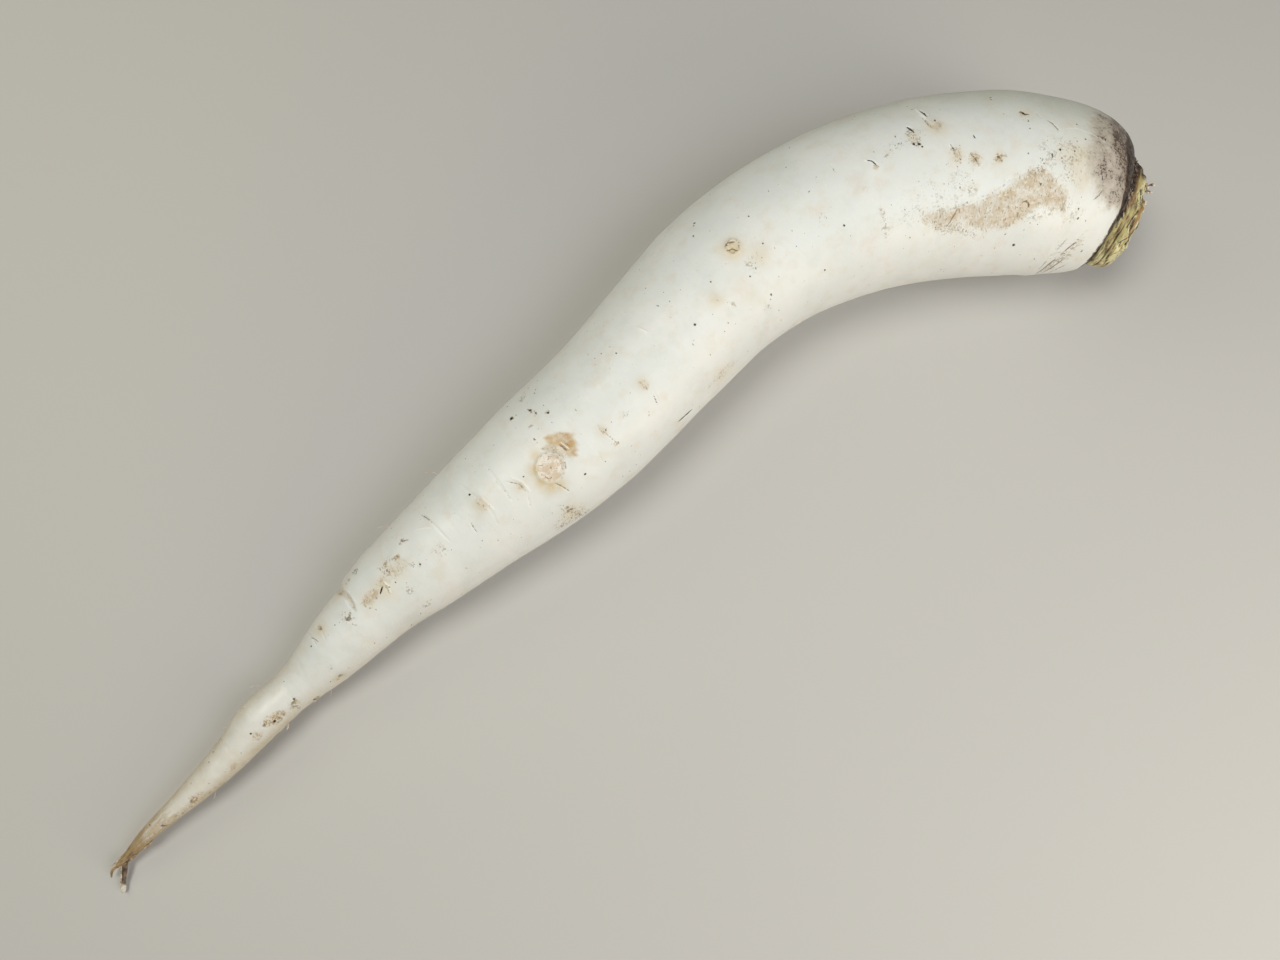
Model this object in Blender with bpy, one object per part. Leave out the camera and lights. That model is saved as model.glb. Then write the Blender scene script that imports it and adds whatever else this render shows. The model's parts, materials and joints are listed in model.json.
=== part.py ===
"""A long, S-curved white radish with its leaves cut off, lying on its side.

The root is one solid, drawn out along a curved axis from the shoulder to the dry, forked tip. The
bundle of cut leaf stalks stands on its crown as a solid of its own. Metres, +Z up, with the tip
towards -X and the crown towards +X. The origin is under the middle of the box, on the surface.
"""
import math
import random

import bmesh
import bpy
import numpy as np
from mathutils import Matrix, Vector

MM = 0.001
NAME = "daikon_radish"

# The drawing's zero is off the middle of the finished box by this much.
BOX_MIDDLE = (30.75, 76.6)

# Axis of the root from the crown to the tip: x, y and height of the axis, then the diameter, in mm.
# Three low stretches, where the height is less than half the diameter, meet the surface.
AXIS = (
    (234.0, 43.0, 28.5, 65.0),
    (219.5, 61.5, 30.5, 65.0),
    (206.0, 71.0, 32.2, 65.0),
    (186.0, 82.5, 31.8, 65.0),
    (154.0, 94.0, 31.9, 62.4),
    (120.0, 98.8, 28.6, 58.4),
    (98.0, 97.0, 28.2, 56.0),
    (75.5, 91.7, 26.9, 53.4),
    (53.5, 86.0, 25.5, 51.2),
    (31.6, 81.2, 24.4, 50.2),
    (9.8, 78.2, 23.5, 47.4),
    (-12.0, 75.8, 21.8, 43.0),
    (-44.4, 72.3, 18.4, 35.0),
    (-66.0, 69.8, 15.8, 28.8),
    (-87.0, 65.0, 13.2, 22.3),
    (-106.0, 61.6, 10.6, 15.9),
    (-120.0, 58.8, 11.0, 15.8),
    (-134.0, 54.6, 10.0, 13.0),
    (-158.0, 49.4, 8.4, 8.4),
    (-179.0, 45.8, 6.5, 4.6),
    (-188.0, 44.0, 5.0, 2.4),
    (-192.0, 41.8, 3.4, 1.3),
)

# The shoulder closes over the first stretch of the axis, from the full diameter to the seat.
SHOULDER_LENGTH = 49.0
SHOULDER_POWER = 2.2
SEAT_DIAMETER = 39.0
SOCKET_DIAMETER = 36.0
SOCKET_DEPTH = 1.2
SOCKET_TAPER = 0.6

AROUND = 36
SHOULDER_RINGS = 12
BODY_RINGS = 76

# Where side roots grew the skin keeps raised scars. Each has its distance from the seat along the
# axis in mm, its turn in degrees (0 on top, 90 on the +Y side), its length along the root, its
# width round the root and its rise in mm.
SCARS = (
    (53, -12, 3.5, 3.5, 0.5),
    (61, -10, 4.0, 6.0, 0.5),
    (68, -6, 3.5, 8.0, 0.6),
    (72, 19, 4.0, 9.5, 0.6),
    (79, 16, 3.0, 7.0, 0.5),
    (95, -1, 4.0, 5.0, 0.5),
    (108, 6, 3.0, 5.0, 0.4),
    (166, -18, 4.5, 5.0, 0.6),
    (203, -23, 4.0, 7.0, 0.6),
    (222, -32, 3.0, 8.0, 0.5),
    (258, -11, 3.0, 8.0, 0.5),
    (267, -7, 4.5, 9.0, 0.6),
    (285, 9, 3.0, 8.0, 0.4),
)
UNDERSIDE_SCARS = 11
UNDERSIDE_FROM = 70.0
UNDERSIDE_STEP = 26.0

# A scar is the top of an egg shape whose half-axes are this share of its length and width.
SCAR_SPREAD = 0.6

# Round calluses, each a low ring: distance along the axis, turn, diameter and rise in mm. The ring
# is this much thicker than it rises, and sunk by this share of its rise.
CALLUSES = ((43, -40, 5.0, 0.45), (149, 0, 7.5, 0.65), (243, -20, 10.0, 0.75))
CALLUS_THICKNESS = 1.3
CALLUS_SUNK = 0.35

# Slits and dimples sunk in the skin: distance, turn, length along, width round and depth in mm.
DENTS = (
    (70, 22, 2.0, 7.0, 0.8),
    (261, -6, 1.6, 9.0, 0.6),
    (312, -7, 2.0, 7.0, 1.0),
    (324, 46, 1.8, 10.0, 0.9),
    (345, -67, 5.0, 4.0, 0.7),
    (340, 30, 1.6, 9.0, 0.5),
)

# Fine rootlets that are left on the skin: distance along the axis, turn and length in mm.
ROOTLETS = (
    (274, 84, 6.0),
    (299, 80, 3.5),
    (334, 118, 4.0),
    (352, -112, 3.0),
    (368, 78, 3.5),
    (370, -92, 2.5),
    (385, 76, 2.5),
    (404, -104, 2.5),
)
ROOTLET_DIAMETER = 0.9
ROOTLET_TIP_DIAMETER = 0.65
ROOTLET_SUNK = 0.8
ROOTLET_DROOP = 0.35

# The thin, flat side rootlet beside the tip: x, y and height of its middle, its width and thickness.
TIP_ROOTLET = (
    (-183.5, 43.6, 4.6, 1.4, 1.0),
    (-186.5, 41.9, 3.1, 2.1, 0.9),
    (-189.6, 39.0, 2.1, 2.3, 0.8),
    (-192.3, 36.3, 1.4, 1.8, 0.8),
    (-193.2, 34.9, 1.4, 1.9, 1.2),
)

# Cut leaf stalks in whorls round the crown's axis: how many, the distance of their middles from
# that axis, width, thickness, height of the cut above the seat, outward lean and first turn. The
# outer ones are the oldest and are cut lowest, so the whorls stand in steps.
WHORLS = (
    (8, 17.4, 15.0, 5.2, 6.4, 0.10, 14.0),
    (7, 12.6, 11.6, 4.8, 10.4, 0.08, 41.0),
    (5, 7.6, 8.6, 4.2, 12.4, 0.04, 75.0),
    (3, 3.0, 4.8, 3.4, 12.9, 0.0, 20.0),
)
CUT_SLOPE = 0.06
STALK_SIDES = 12
STALK_FOOT = 0.5
STALK_HEIGHT_SPREAD = 0.9
STALK_STAGGER = 0.45
STALK_BOW = 0.17
CORE_DIAMETER = 35.2
CORE_TOP_DIAMETER = 27.0
CORE_HEIGHT = 7.0
CORE_TAPER = 0.8
CORE_CROWNING = 0.6
CORE_SIDES = 28
GAP = 0.3

SEED = 11


def clear_scene():
    for obj in list(bpy.data.objects):
        bpy.data.objects.remove(obj, do_unlink=True)


def make_material(name, colour, roughness):
    material = bpy.data.materials.new(name)
    material.use_nodes = True
    shader = material.node_tree.nodes["Principled BSDF"]
    shader.inputs["Base Color"].default_value = (*colour, 1.0)
    shader.inputs["Roughness"].default_value = roughness
    shader.inputs["Metallic"].default_value = 0.0
    material.diffuse_color = (*colour, 1.0)
    return material


def through(knots, values, at):
    """A smooth curve's value: the cubic through the values at the knots, held at both ends."""
    slopes = np.gradient(values, knots, axis=0)
    at = min(max(at, knots[0]), knots[-1])
    k = min(int(np.searchsorted(knots, at, side="right")) - 1, len(knots) - 2)
    span = knots[k + 1] - knots[k]
    u = (at - knots[k]) / span
    start = (1 + 2 * u) * (1 - u) ** 2 * values[k] + u * (1 - u) ** 2 * span * slopes[k]
    end = u * u * (3 - 2 * u) * values[k + 1] + u * u * (u - 1) * span * slopes[k + 1]
    return start + end


class Root:
    """The curved axis with its diameter, read at any distance from the crown's seat, in mm."""

    def __init__(self, stations):
        self.values = np.array(stations)
        steps = np.linalg.norm(np.diff(self.values[:, :2], axis=0), axis=1)
        self.knots = np.concatenate([[0.0], np.cumsum(steps)])
        self.length = self.knots[-1]

    def at(self, distance):
        """The axis point, the direction across it towards +Y, and the radius there."""
        x, y, height, diameter = through(self.knots, self.values, distance)
        ahead = through(self.knots, self.values, distance + 0.5)
        behind = through(self.knots, self.values, distance - 0.5)
        along = Vector((ahead[0] - behind[0], ahead[1] - behind[1], 0.0)).normalized()
        across = Vector((along.y, -along.x, 0.0))
        radius = diameter / 2
        if distance < SHOULDER_LENGTH:
            rest = 1 - max(distance, 0.0) / SHOULDER_LENGTH
            seat = SEAT_DIAMETER / 2
            radius = seat + (radius - seat) * (1 - rest**SHOULDER_POWER) ** (1 / SHOULDER_POWER)
        point = Vector((x - BOX_MIDDLE[0], y - BOX_MIDDLE[1], height))
        return point, across, radius

    def skin(self, distance, turn):
        """A point of the skin and its outward direction, for a turn in degrees from the top."""
        point, across, radius = self.at(distance)
        outward = across * math.sin(math.radians(turn)) + Vector((0, 0, math.cos(math.radians(turn))))
        return point + outward * radius, outward

    def patch(self, distance, turn, depth=0.0):
        """A frame on the skin: X along the root to the tip, Y round it, Z outward."""
        here, outward = self.skin(distance, turn)
        there, _ = self.skin(distance + 1.0, turn)
        along = (there - here).normalized()
        around = outward.cross(along).normalized()
        normal = along.cross(around)
        frame = Matrix((along, around, normal)).transposed().to_4x4()
        frame.translation = here - normal * depth
        return frame


def shaped_sphere(name, rings, around, place):
    """A closed mesh: every ring and turn of a sphere goes where place says, in mm."""
    bm = bmesh.new()
    bmesh.ops.create_uvsphere(bm, u_segments=around, v_segments=rings, radius=1.0)
    for vertex in bm.verts:
        ring = round(math.acos(max(-1.0, min(1.0, vertex.co.z))) / math.pi * rings)
        vertex.co = Vector(place(ring, math.atan2(vertex.co.y, vertex.co.x))) * MM
    bmesh.ops.recalc_face_normals(bm, faces=bm.faces)
    mesh = bpy.data.meshes.new(name)
    bm.to_mesh(mesh)
    bm.free()
    return bpy.data.objects.new(name, mesh)


def combine(target, pieces, operation):
    """Joins the pieces to the target, or cuts them from it, and removes them."""
    scene = bpy.context.scene.collection
    scene.objects.link(target)
    helpers = bpy.data.collections.new("helpers")
    scene.children.link(helpers)
    for piece in pieces:
        helpers.objects.link(piece)
    boolean = target.modifiers.new("combine", "BOOLEAN")
    boolean.operation = operation
    boolean.operand_type = "COLLECTION"
    boolean.collection = helpers
    boolean.solver = "EXACT"
    bpy.context.view_layer.update()
    graph = bpy.context.evaluated_depsgraph_get()
    before = target.data
    target.data = bpy.data.meshes.new_from_object(target.evaluated_get(graph))
    target.modifiers.clear()
    bpy.data.meshes.remove(before)
    for piece in pieces:
        bpy.data.objects.remove(piece, do_unlink=True)
    bpy.data.collections.remove(helpers)
    scene.objects.unlink(target)


def ring_distances(root):
    """How far from the seat each ring of the body lies: close together on the shoulder and tip."""
    quarter = np.linspace(0, math.pi / 2, SHOULDER_RINGS + 1)
    shoulder = SHOULDER_LENGTH * (1 - np.cos(quarter))
    body = np.linspace(SHOULDER_LENGTH, root.length, BODY_RINGS + 1)[1:]
    return [*shoulder, *body]


def root_body(root):
    distances = ring_distances(root)
    last = len(distances) - 1
    socket_edge = (SOCKET_DEPTH, SOCKET_DIAMETER / 2 - SOCKET_TAPER)
    socket_lip = (0.0, SOCKET_DIAMETER / 2)
    rings = len(distances) + 3

    def place(ring, turn):
        if ring in (0, 1, 2):
            distance, radius = ((SOCKET_DEPTH, 0.0), socket_edge, socket_lip)[ring]
            start, across, _ = root.at(0.0)
            into = Vector((0, 0, 1)).cross(across)
            middle = start + into * distance
        else:
            step = min(ring - 3, last)
            middle, across, radius = root.at(distances[step])
            if ring == rings:
                radius = 0.0
        outward = across * math.sin(turn) + Vector((0, 0, math.cos(turn)))
        return middle + outward * radius

    return shaped_sphere("root", rings, AROUND, place)


def lump(root, scar, name="scar"):
    """A low oval swelling on the skin."""
    distance, turn, length, width, rise = scar
    frame = root.patch(distance, turn, depth=rise)

    def place(ring, angle):
        polar = ring * math.pi / 6
        flat = math.sin(polar)
        return frame @ Vector(
            (
                flat * math.cos(angle) * length * SCAR_SPREAD,
                flat * math.sin(angle) * width * SCAR_SPREAD,
                math.cos(polar) * rise * 2,
            )
        )

    return shaped_sphere(name, 6, 10, place)


def callus(root, distance, turn, diameter, rise):
    """A low ring on the skin, where a side root healed over."""
    bpy.ops.mesh.primitive_torus_add(
        major_radius=(diameter / 2 - rise) * MM,
        minor_radius=rise * CALLUS_THICKNESS * MM,
        major_segments=14,
        minor_segments=8,
    )
    ring = bpy.context.active_object
    ring.name = "callus"
    for collection in list(ring.users_collection):
        collection.objects.unlink(ring)
    frame = root.patch(distance, turn, depth=rise * CALLUS_SUNK)
    frame.translation *= MM
    ring.data.transform(frame)
    return ring


def strand(name, path, sides):
    """A closed, tapering strand through the path's points, each with its width and thickness."""
    points = [Vector(row[:3]) for row in path]
    last = len(points) - 1

    def place(ring, angle):
        k = min(max(ring - 1, 0), last)
        along = (points[min(k + 1, last)] - points[max(k - 1, 0)]).normalized()
        wide = along.cross(Vector((0, 0, 1))).normalized()
        thick = wide.cross(along)
        if ring in (0, last + 2):
            return points[k]
        width, thickness = path[k][3], path[k][4]
        return points[k] + wide * math.cos(angle) * width / 2 + thick * math.sin(angle) * thickness / 2

    return shaped_sphere(name, last + 2, sides, place)


def rootlet(root, distance, turn, length, chance):
    """A short fine rootlet that starts inside the skin and curves back towards the tip."""
    frame = root.patch(distance, turn)
    lean = chance.uniform(0.5, 0.9)
    sway = chance.uniform(-0.35, 0.35)
    path = []
    for step in range(5):
        u = step / 4
        reach = length * u
        height = reach * (1 - ROOTLET_DROOP * u) - ROOTLET_SUNK * (1 - u)
        place = frame @ Vector((lean * reach * u, sway * reach, height))
        thick = ROOTLET_DIAMETER + (ROOTLET_TIP_DIAMETER - ROOTLET_DIAMETER) * u
        path.append((*place, thick, thick))
    return strand("rootlet", path, 6)


def underside_scars(chance):
    """The second row of side-root scars, opposite the first, at uneven steps."""
    scars = []
    for k in range(UNDERSIDE_SCARS):
        distance = UNDERSIDE_FROM + UNDERSIDE_STEP * k + chance.uniform(-7, 7)
        turn = 180 + chance.uniform(-34, 34)
        width = chance.uniform(4.0, 8.0)
        scars.append((distance, turn, width * 0.55, width, chance.uniform(0.35, 0.55)))
    return scars


def flatten_underside(obj):
    """Cuts off what is below the surface, which leaves the flat spots that the root rests on."""
    bm = bmesh.new()
    bm.from_mesh(obj.data)
    everything = list(bm.verts) + list(bm.edges) + list(bm.faces)
    bmesh.ops.bisect_plane(bm, geom=everything, plane_co=(0, 0, 0), plane_no=(0, 0, -1), clear_outer=True)
    rim = [edge for edge in bm.edges if edge.is_boundary]
    bmesh.ops.holes_fill(bm, edges=rim, sides=0)
    bmesh.ops.recalc_face_normals(bm, faces=bm.faces)
    bm.to_mesh(obj.data)
    bm.free()


def build_root(root, chance):
    body = root_body(root)
    grown = [lump(root, scar) for scar in (*SCARS, *underside_scars(chance))]
    grown += [callus(root, *ring) for ring in CALLUSES]
    grown += [rootlet(root, *place, chance) for place in ROOTLETS]
    path = [(x - BOX_MIDDLE[0], y - BOX_MIDDLE[1], *rest) for x, y, *rest in TIP_ROOTLET]
    grown.append(strand("tip_rootlet", path, 8))
    combine(body, grown, "UNION")
    dents = [lump(root, (d, t, length, width, depth), "dent") for d, t, length, width, depth in DENTS]
    combine(body, dents, "DIFFERENCE")
    flatten_underside(body)
    return body


def crown_frame(root):
    """X round the crown on the level, Y up, Z out of the crown along its axis; zero on the seat."""
    seat, across, _ = root.at(0.0)
    out = across.cross(Vector((0, 0, 1)))
    frame = Matrix((across, out.cross(across), out)).transposed().to_4x4()
    frame.translation = seat
    return frame


def stalk(frame, angle, offset, width, thickness, height, lean, chance):
    """One cut stalk: a crescent in section, with a slanted and slightly dished cut."""
    slant = chance.uniform(-0.12, 0.12)
    dish = chance.uniform(0.5, 1.0)
    bow = width * STALK_BOW
    # Each ring's level above the seat, and its share of the stalk's width and thickness.
    rings = (
        (STALK_FOOT, 0.0),
        (STALK_FOOT, 0.94),
        (height * 0.5, 1.0),
        (height, 0.93),
        (height - 0.2, 0.64),
        (height - dish, 0.0),
    )

    def place(ring, turn):
        level, spread = rings[ring]
        round_it = spread * math.cos(turn) * width / 2
        outward = spread * math.sin(turn) * thickness / 2
        outward += bow * (0.4 - (2 * round_it / width) ** 2) + offset + lean * level
        x = outward * math.cos(angle) - round_it * math.sin(angle)
        y = outward * math.sin(angle) + round_it * math.cos(angle)
        if ring >= 3:
            level += slant * round_it + CUT_SLOPE * x
        return frame @ Vector((x, y, level))

    return shaped_sphere("stalk", 5, STALK_SIDES, place)


def whorl_of_stalks(frame, whorl, chance):
    count, offset, width, thickness, height, lean, first = whorl
    stalks = []
    for k in range(count):
        angle = math.radians(first + 360 * k / count + chance.uniform(-4, 4))
        stagger = STALK_STAGGER if k % 2 else -STALK_STAGGER
        broad = width * chance.uniform(0.9, 1.06)
        thick = thickness * chance.uniform(0.92, 1.12)
        tall = height + chance.uniform(-STALK_HEIGHT_SPREAD, STALK_HEIGHT_SPREAD)
        stalks.append(stalk(frame, angle, offset + stagger, broad, thick, tall, lean, chance))
    return stalks


def stalk_core(frame):
    """The short stem that carries the stalks, seated in the root's socket."""
    bottom = GAP - SOCKET_DEPTH
    rings = (
        (bottom, 0.0),
        (bottom, CORE_DIAMETER / 2 - CORE_TAPER),
        (GAP, CORE_DIAMETER / 2),
        (CORE_HEIGHT, CORE_TOP_DIAMETER / 2),
        (CORE_HEIGHT + CORE_CROWNING, 0.0),
    )

    def place(ring, turn):
        level, radius = rings[ring]
        return frame @ Vector((radius * math.cos(turn), radius * math.sin(turn), level))

    return shaped_sphere("leaf_stalks", 4, CORE_SIDES, place)


def build_leaf_stalks(root, chance):
    frame = crown_frame(root)
    core = stalk_core(frame)
    stalks = [stalk for whorl in WHORLS for stalk in whorl_of_stalks(frame, whorl, chance)]
    combine(core, stalks, "UNION")
    return core


def finish(obj, material, collection):
    """Smooths the shading, gives the material and files the object under the collection."""
    obj.data.materials.clear()
    obj.data.materials.append(material)
    obj.data.shade_smooth()
    obj.data.set_sharp_from_angle(angle=math.radians(50))
    collection.objects.link(obj)


def main():
    clear_scene()
    chance = random.Random(SEED)
    parts = bpy.data.collections.new(NAME)
    bpy.context.scene.collection.children.link(parts)
    root = Root(AXIS)
    skin = make_material("white_skin", (0.80, 0.80, 0.73), 0.42)
    green = make_material("leaf_stalk", (0.55, 0.58, 0.30), 0.65)
    finish(build_root(root, chance), skin, parts)
    finish(build_leaf_stalks(root, chance), green, parts)


main()
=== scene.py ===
"""The looks of a long, S-curved white radish with its leaves cut off, lying on its side.

The skin follows the same axis as the solid model and carries every scar, slit and wrinkle as real
relief. Its stains, its painted highlights and its painted shade are masks on the mesh, which the
materials break up into fibres and specks.
Lengths are in millimetres until a mesh is made, and metres after that.
"""
import json
import math
import random

import bmesh
import bpy
import numpy as np
from mathutils import Matrix, Vector, kdtree, noise
from mathutils.bvhtree import BVHTree

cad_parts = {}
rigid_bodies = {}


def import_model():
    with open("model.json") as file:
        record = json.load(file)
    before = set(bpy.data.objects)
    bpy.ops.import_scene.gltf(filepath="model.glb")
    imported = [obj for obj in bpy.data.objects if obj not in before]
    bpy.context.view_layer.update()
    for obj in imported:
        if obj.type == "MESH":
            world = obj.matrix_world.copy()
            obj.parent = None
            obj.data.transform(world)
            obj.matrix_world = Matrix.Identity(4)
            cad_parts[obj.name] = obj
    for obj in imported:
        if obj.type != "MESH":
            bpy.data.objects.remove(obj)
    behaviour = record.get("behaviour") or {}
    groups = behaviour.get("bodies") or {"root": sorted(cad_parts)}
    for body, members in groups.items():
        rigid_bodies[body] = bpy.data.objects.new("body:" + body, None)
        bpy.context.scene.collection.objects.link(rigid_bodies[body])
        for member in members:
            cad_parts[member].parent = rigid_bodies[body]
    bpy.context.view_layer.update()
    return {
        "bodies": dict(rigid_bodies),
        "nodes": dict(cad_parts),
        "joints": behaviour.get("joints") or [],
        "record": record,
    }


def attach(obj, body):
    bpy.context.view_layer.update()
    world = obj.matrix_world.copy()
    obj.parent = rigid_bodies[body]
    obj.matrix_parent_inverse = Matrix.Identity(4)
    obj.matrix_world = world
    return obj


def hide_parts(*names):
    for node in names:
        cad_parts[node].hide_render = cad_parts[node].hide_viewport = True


MM = 0.001

# The drawing's zero is off the middle of the object's box by this much.
BOX_MIDDLE = (30.75, 76.6, 0.0)

# Axis of the root from the crown to the tip: x, y and height of the axis, then the diameter.
AXIS = (
    (234, 43, 28.5, 65),
    (219.5, 61.5, 30.5, 65),
    (206, 71, 32.2, 65),
    (186, 82.5, 31.8, 65),
    (154, 94, 31.9, 62.4),
    (120, 98.8, 28.6, 58.4),
    (98, 97, 28.2, 56),
    (75.5, 91.7, 26.9, 53.4),
    (53.5, 86, 25.5, 51.2),
    (31.6, 81.2, 24.4, 50.2),
    (9.8, 78.2, 23.5, 47.4),
    (-12, 75.8, 21.8, 43),
    (-44.4, 72.3, 18.4, 35),
    (-66, 69.8, 15.8, 28.8),
    (-87, 65, 13.2, 22.3),
    (-106, 61.6, 10.6, 15.9),
    (-120, 58.8, 11, 15.8),
    (-134, 54.6, 10, 13),
    (-158, 49.3, 8.4, 8),
    (-179, 45.6, 6.5, 3.9),
    (-184.6, 44.5, 5.6, 2.1),
    (-188.4, 44.1, 4.8, 1.2),
    (-191.4, 43.4, 3.8, 0.9),
    (-193, 42.1, 2.6, 0.5),
)
SHOULDER_LENGTH = 49.0
SHOULDER_POWER = 2.2
SEAT_RADIUS = 19.5
SOCKET_DEPTH = 1.2
SOCKET_SLOPE = 1.5

# How many places the axis is read at, closest together near the crown.
AXIS_READINGS = 6001

# The skin's rings: their ways inside the crown's socket, which are negative, their spacing on the
# body and on the tail, and how many points each ring has.
SOCKET_WAYS = (-4.0, -1.6, -0.8)
RING_STEP = 1.2
TAIL_RING_STEP = 0.7
TAIL_FROM = 330.0
AROUND = 132
# How finely a mark divides the faces at it, how far round it this goes, and its edge's least fade.
MARK_CUTS = 3
MARK_MARGIN = 0.9
LEAST_FADE = 0.14

# Marks lie at a distance from the crown's seat along the axis, in mm, and a turn in degrees, which
# is 0 on top and 90 on the +Y side. A stroke has its half width, its relief (negative is sunk), its
# strength from 0 to 1, and the points that it runs through.
DARK_STROKES = (
    (0.24, -0.45, 0.9, ((73.6, 32), (73, 27), (72.6, 22.5))),
    (0.14, -0.15, 0.6, ((74.6, 25), (74, 19), (72.6, 13))),
    (0.3, -0.45, 1, ((80.2, 19), (79.6, 17), (78.8, 13.6))),
    (0.16, -0.1, 0.6, ((79.9, 12), (79.6, 8))),
    (0.18, -0.1, 0.7, ((66.8, -9), (66.3, -11))),
    (0.16, -0.1, 0.5, ((62.9, -6), (62.4, -9), (61.4, -10))),
    (0.18, -0.1, 0.6, ((61.6, -10), (60.8, -13.5))),
    (0.2, -0.1, 0.7, ((54.6, -11.5), (53.4, -11), (52.4, -12.6))),
    (0.18, -0.1, 0.6, ((53.2, -13), (51.8, -14))),
    (0.26, -0.08, 0.6, ((14.4, -1), (14, -3))),
    (0.24, -0.08, 0.7, ((13.2, -9), (12.8, -11))),
    (0.28, -0.08, 0.6, ((12.6, -14), (12.2, -17))),
    (0.34, -0.08, 0.5, ((10, -21), (11, -27), (12.5, -31))),
    (0.26, -0.1, 0.7, ((15.6, 11), (15.2, 9))),
    (0.3, -0.08, 0.7, ((11.8, 26), (11, 23))),
    (0.42, -0.05, 0.7, ((43.6, 19), (42.4, 17), (41, 17))),
    (0.3, -0.05, 0.6, ((357.6, -74), (356.8, -80))),
    (0.26, -0.05, 0.6, ((315.6, 41), (316.6, 37))),
    (0.3, -0.1, 0.7, ((14.6, 29), (13.6, 27))),
    (0.18, -0.2, 0.6, ((68.7, 0.5), (68.4, -2), (67.6, -5))),
    (0.22, -0.15, 0.7, ((60.7, 4.5), (60.1, 1.5))),
    (0.26, -0.4, 0.9, ((96.9, 4), (95.6, 2.5), (94.3, -2))),
    (0.15, -0.2, 0.7, ((203, -33), (203.9, -41))),
    (0.34, -0.2, 0.8, ((201.2, -71), (195, -73))),
    (0.15, -0.1, 0.6, ((298.3, -5), (299.7, -11))),
    (0.26, -0.7, 1, ((311.6, -4.5), (313.9, -9.5))),
)
CRACKS = (
    (0.15, -0.12, 0.6, ((38.2, 19), (37.6, 16.4), (36.6, 15))),
    (0.19, -0.18, 1, ((35, 13.6), (33.4, 11.8), (32.4, 9.4), (31.3, 6.8))),
    (0.3, -0.2, 0.9, ((151.2, 3.4), (149.4, 4.4), (147.4, 1.4))),
    (0.26, -0.2, 0.9, ((151.6, 0), (149.8, -0.8), (148.8, -5))),
    (0.2, -0.15, 0.8, ((147.4, -1.4), (148.2, -5))),
    (0.18, -0.2, 0.6, ((107.9, 11), (107.4, 4))),
    (0.14, -0.15, 0.5, ((191.6, -5), (191.2, -9))),
    (0.12, -0.08, 0.4, ((195.9, -20), (195.9, -25))),
    (0.16, -0.2, 0.7, ((223.2, -21), (222.4, -31), (221.8, -40))),
    (0.12, -0.1, 0.4, ((228.2, -32), (228.7, -46))),
    (0.2, -0.28, 0.8, ((245.5, -31), (244.2, -39), (243.3, -47))),
    (0.18, -0.25, 0.7, ((257.6, -5), (254.6, -14), (254.4, -25))),
    (0.2, -0.3, 0.9, ((236.4, -10), (235.7, -18))),
    (0.16, -0.2, 0.7, ((234.7, -9), (234, -17))),
    (0.15, -0.22, 0.7, ((240.7, -14), (241.6, -12), (242.8, -15))),
    (0.15, -0.22, 0.8, ((246.9, -21), (246.1, -26), (244.7, -27))),
    (0.15, -0.22, 0.8, ((239.7, -21), (240.5, -26), (240.3, -29))),
    (0.15, -0.22, 0.6, ((246, -12), (244.8, -15))),
    (0.14, -0.18, 0.6, ((241.8, -22), (242.6, -26))),
    (0.16, -0.2, 0.5, ((260.2, 4), (259.6, -8), (260.2, -22))),
    (0.2, -0.28, 0.7, ((275.2, -13), (275.7, -25))),
    (0.16, -0.18, 0.6, ((286.4, 31), (285.2, 18))),
    (0.18, -0.25, 0.5, ((254.8, -26), (256.5, -36))),
    (0.55, -0.2, 0.9, ((17, -104), (14.8, -86), (13.2, -78))),
    (0.26, -0.1, 0.85, (
        (44.5, -39), (43.9, -37.6), (42.8, -37.4), (41.8, -38.6), (41.6, -40.4), (42.4, -42.4),
    )),
    (0.4, -0.2, 0.8, ((12.6, -75), (11.2, -67), (9.6, -61))),
    (0.45, -0.2, 0.8, ((13.4, -104), (11.4, -89), (9.8, -79))),
    (0.36, -0.15, 0.8, ((19.4, -92), (18.3, -80))),
    (0.3, -0.15, 0.7, ((16.6, -70), (14.6, -60))),
    (0.3, -0.15, 0.7, ((10.6, -108), (8.6, -94), (7, -86))),
    (0.26, -0.1, 0.7, ((22, -96), (20.8, -88))),
    (0.2, -0.1, 0.6, ((9.4, -55), (8, -50))),
    (0.22, -0.15, 0.9, ((68.5, -37), (70, -41), (71.6, -45), (73.6, -49))),
    (0.3, -0.1, 0.4, ((68.5, -37), (62, -34), (56.5, -32), (51, -27), (48.5, -24))),
    (0.16, -0.15, 0.7, ((342.6, 40), (341.2, 22), (341, 13))),
    (0.2, -0.15, 0.7, ((286.6, 31), (285.6, 22), (285, 14))),
    (0.16, -0.1, 0.6, ((311.6, -2), (310.6, -10), (311.6, -18))),
)
# Raised lips beside slits and cracks. Their near-white colour is a painted highlight.
PAINTED_HIGHLIGHT_LIPS = (
    (0.36, 0.4, 1, ((74.4, 34), (74.2, 29), (73.9, 25), (73.4, 22))),
    (0.15, 0.02, 0.55, ((30, 8.6), (25.5, 11.6), (20.6, 11), (16, 8.2), (14.6, 7.6))),
    (0.3, 0.2, 0.9, ((80, 11), (79.4, 9.4))),
    (0.2, 0.2, 0.8, ((69.3, 1), (69.1, -2))),
    (0.28, 0.3, 0.8, ((97.6, 5), (96.2, 3), (95, 0))),
    (0.26, 0.25, 0.7, ((190.2, 11), (189.6, 3))),
    (0.24, 0.28, 0.8, ((202.2, -30), (203.1, -40))),
    (0.21, 0.3, 0.8, ((235.5, -10), (234.8, -18))),
    (0.24, 0.4, 0.9, ((310.2, 1), (309.8, -8), (310.8, -17))),
    (0.22, 0.15, 0.6, ((290.8, 20), (288, 14), (286.4, 9))),
    (0.22, 0.2, 0.6, ((322.8, 46), (321.8, 28), (322, 8))),
    (0.3, 0.22, 0.5, ((255.4, -5), (253.4, -14), (253.4, -24))),
    (0.3, 0.25, 0.5, ((266.8, 2), (266.4, -18))),
)
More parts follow.
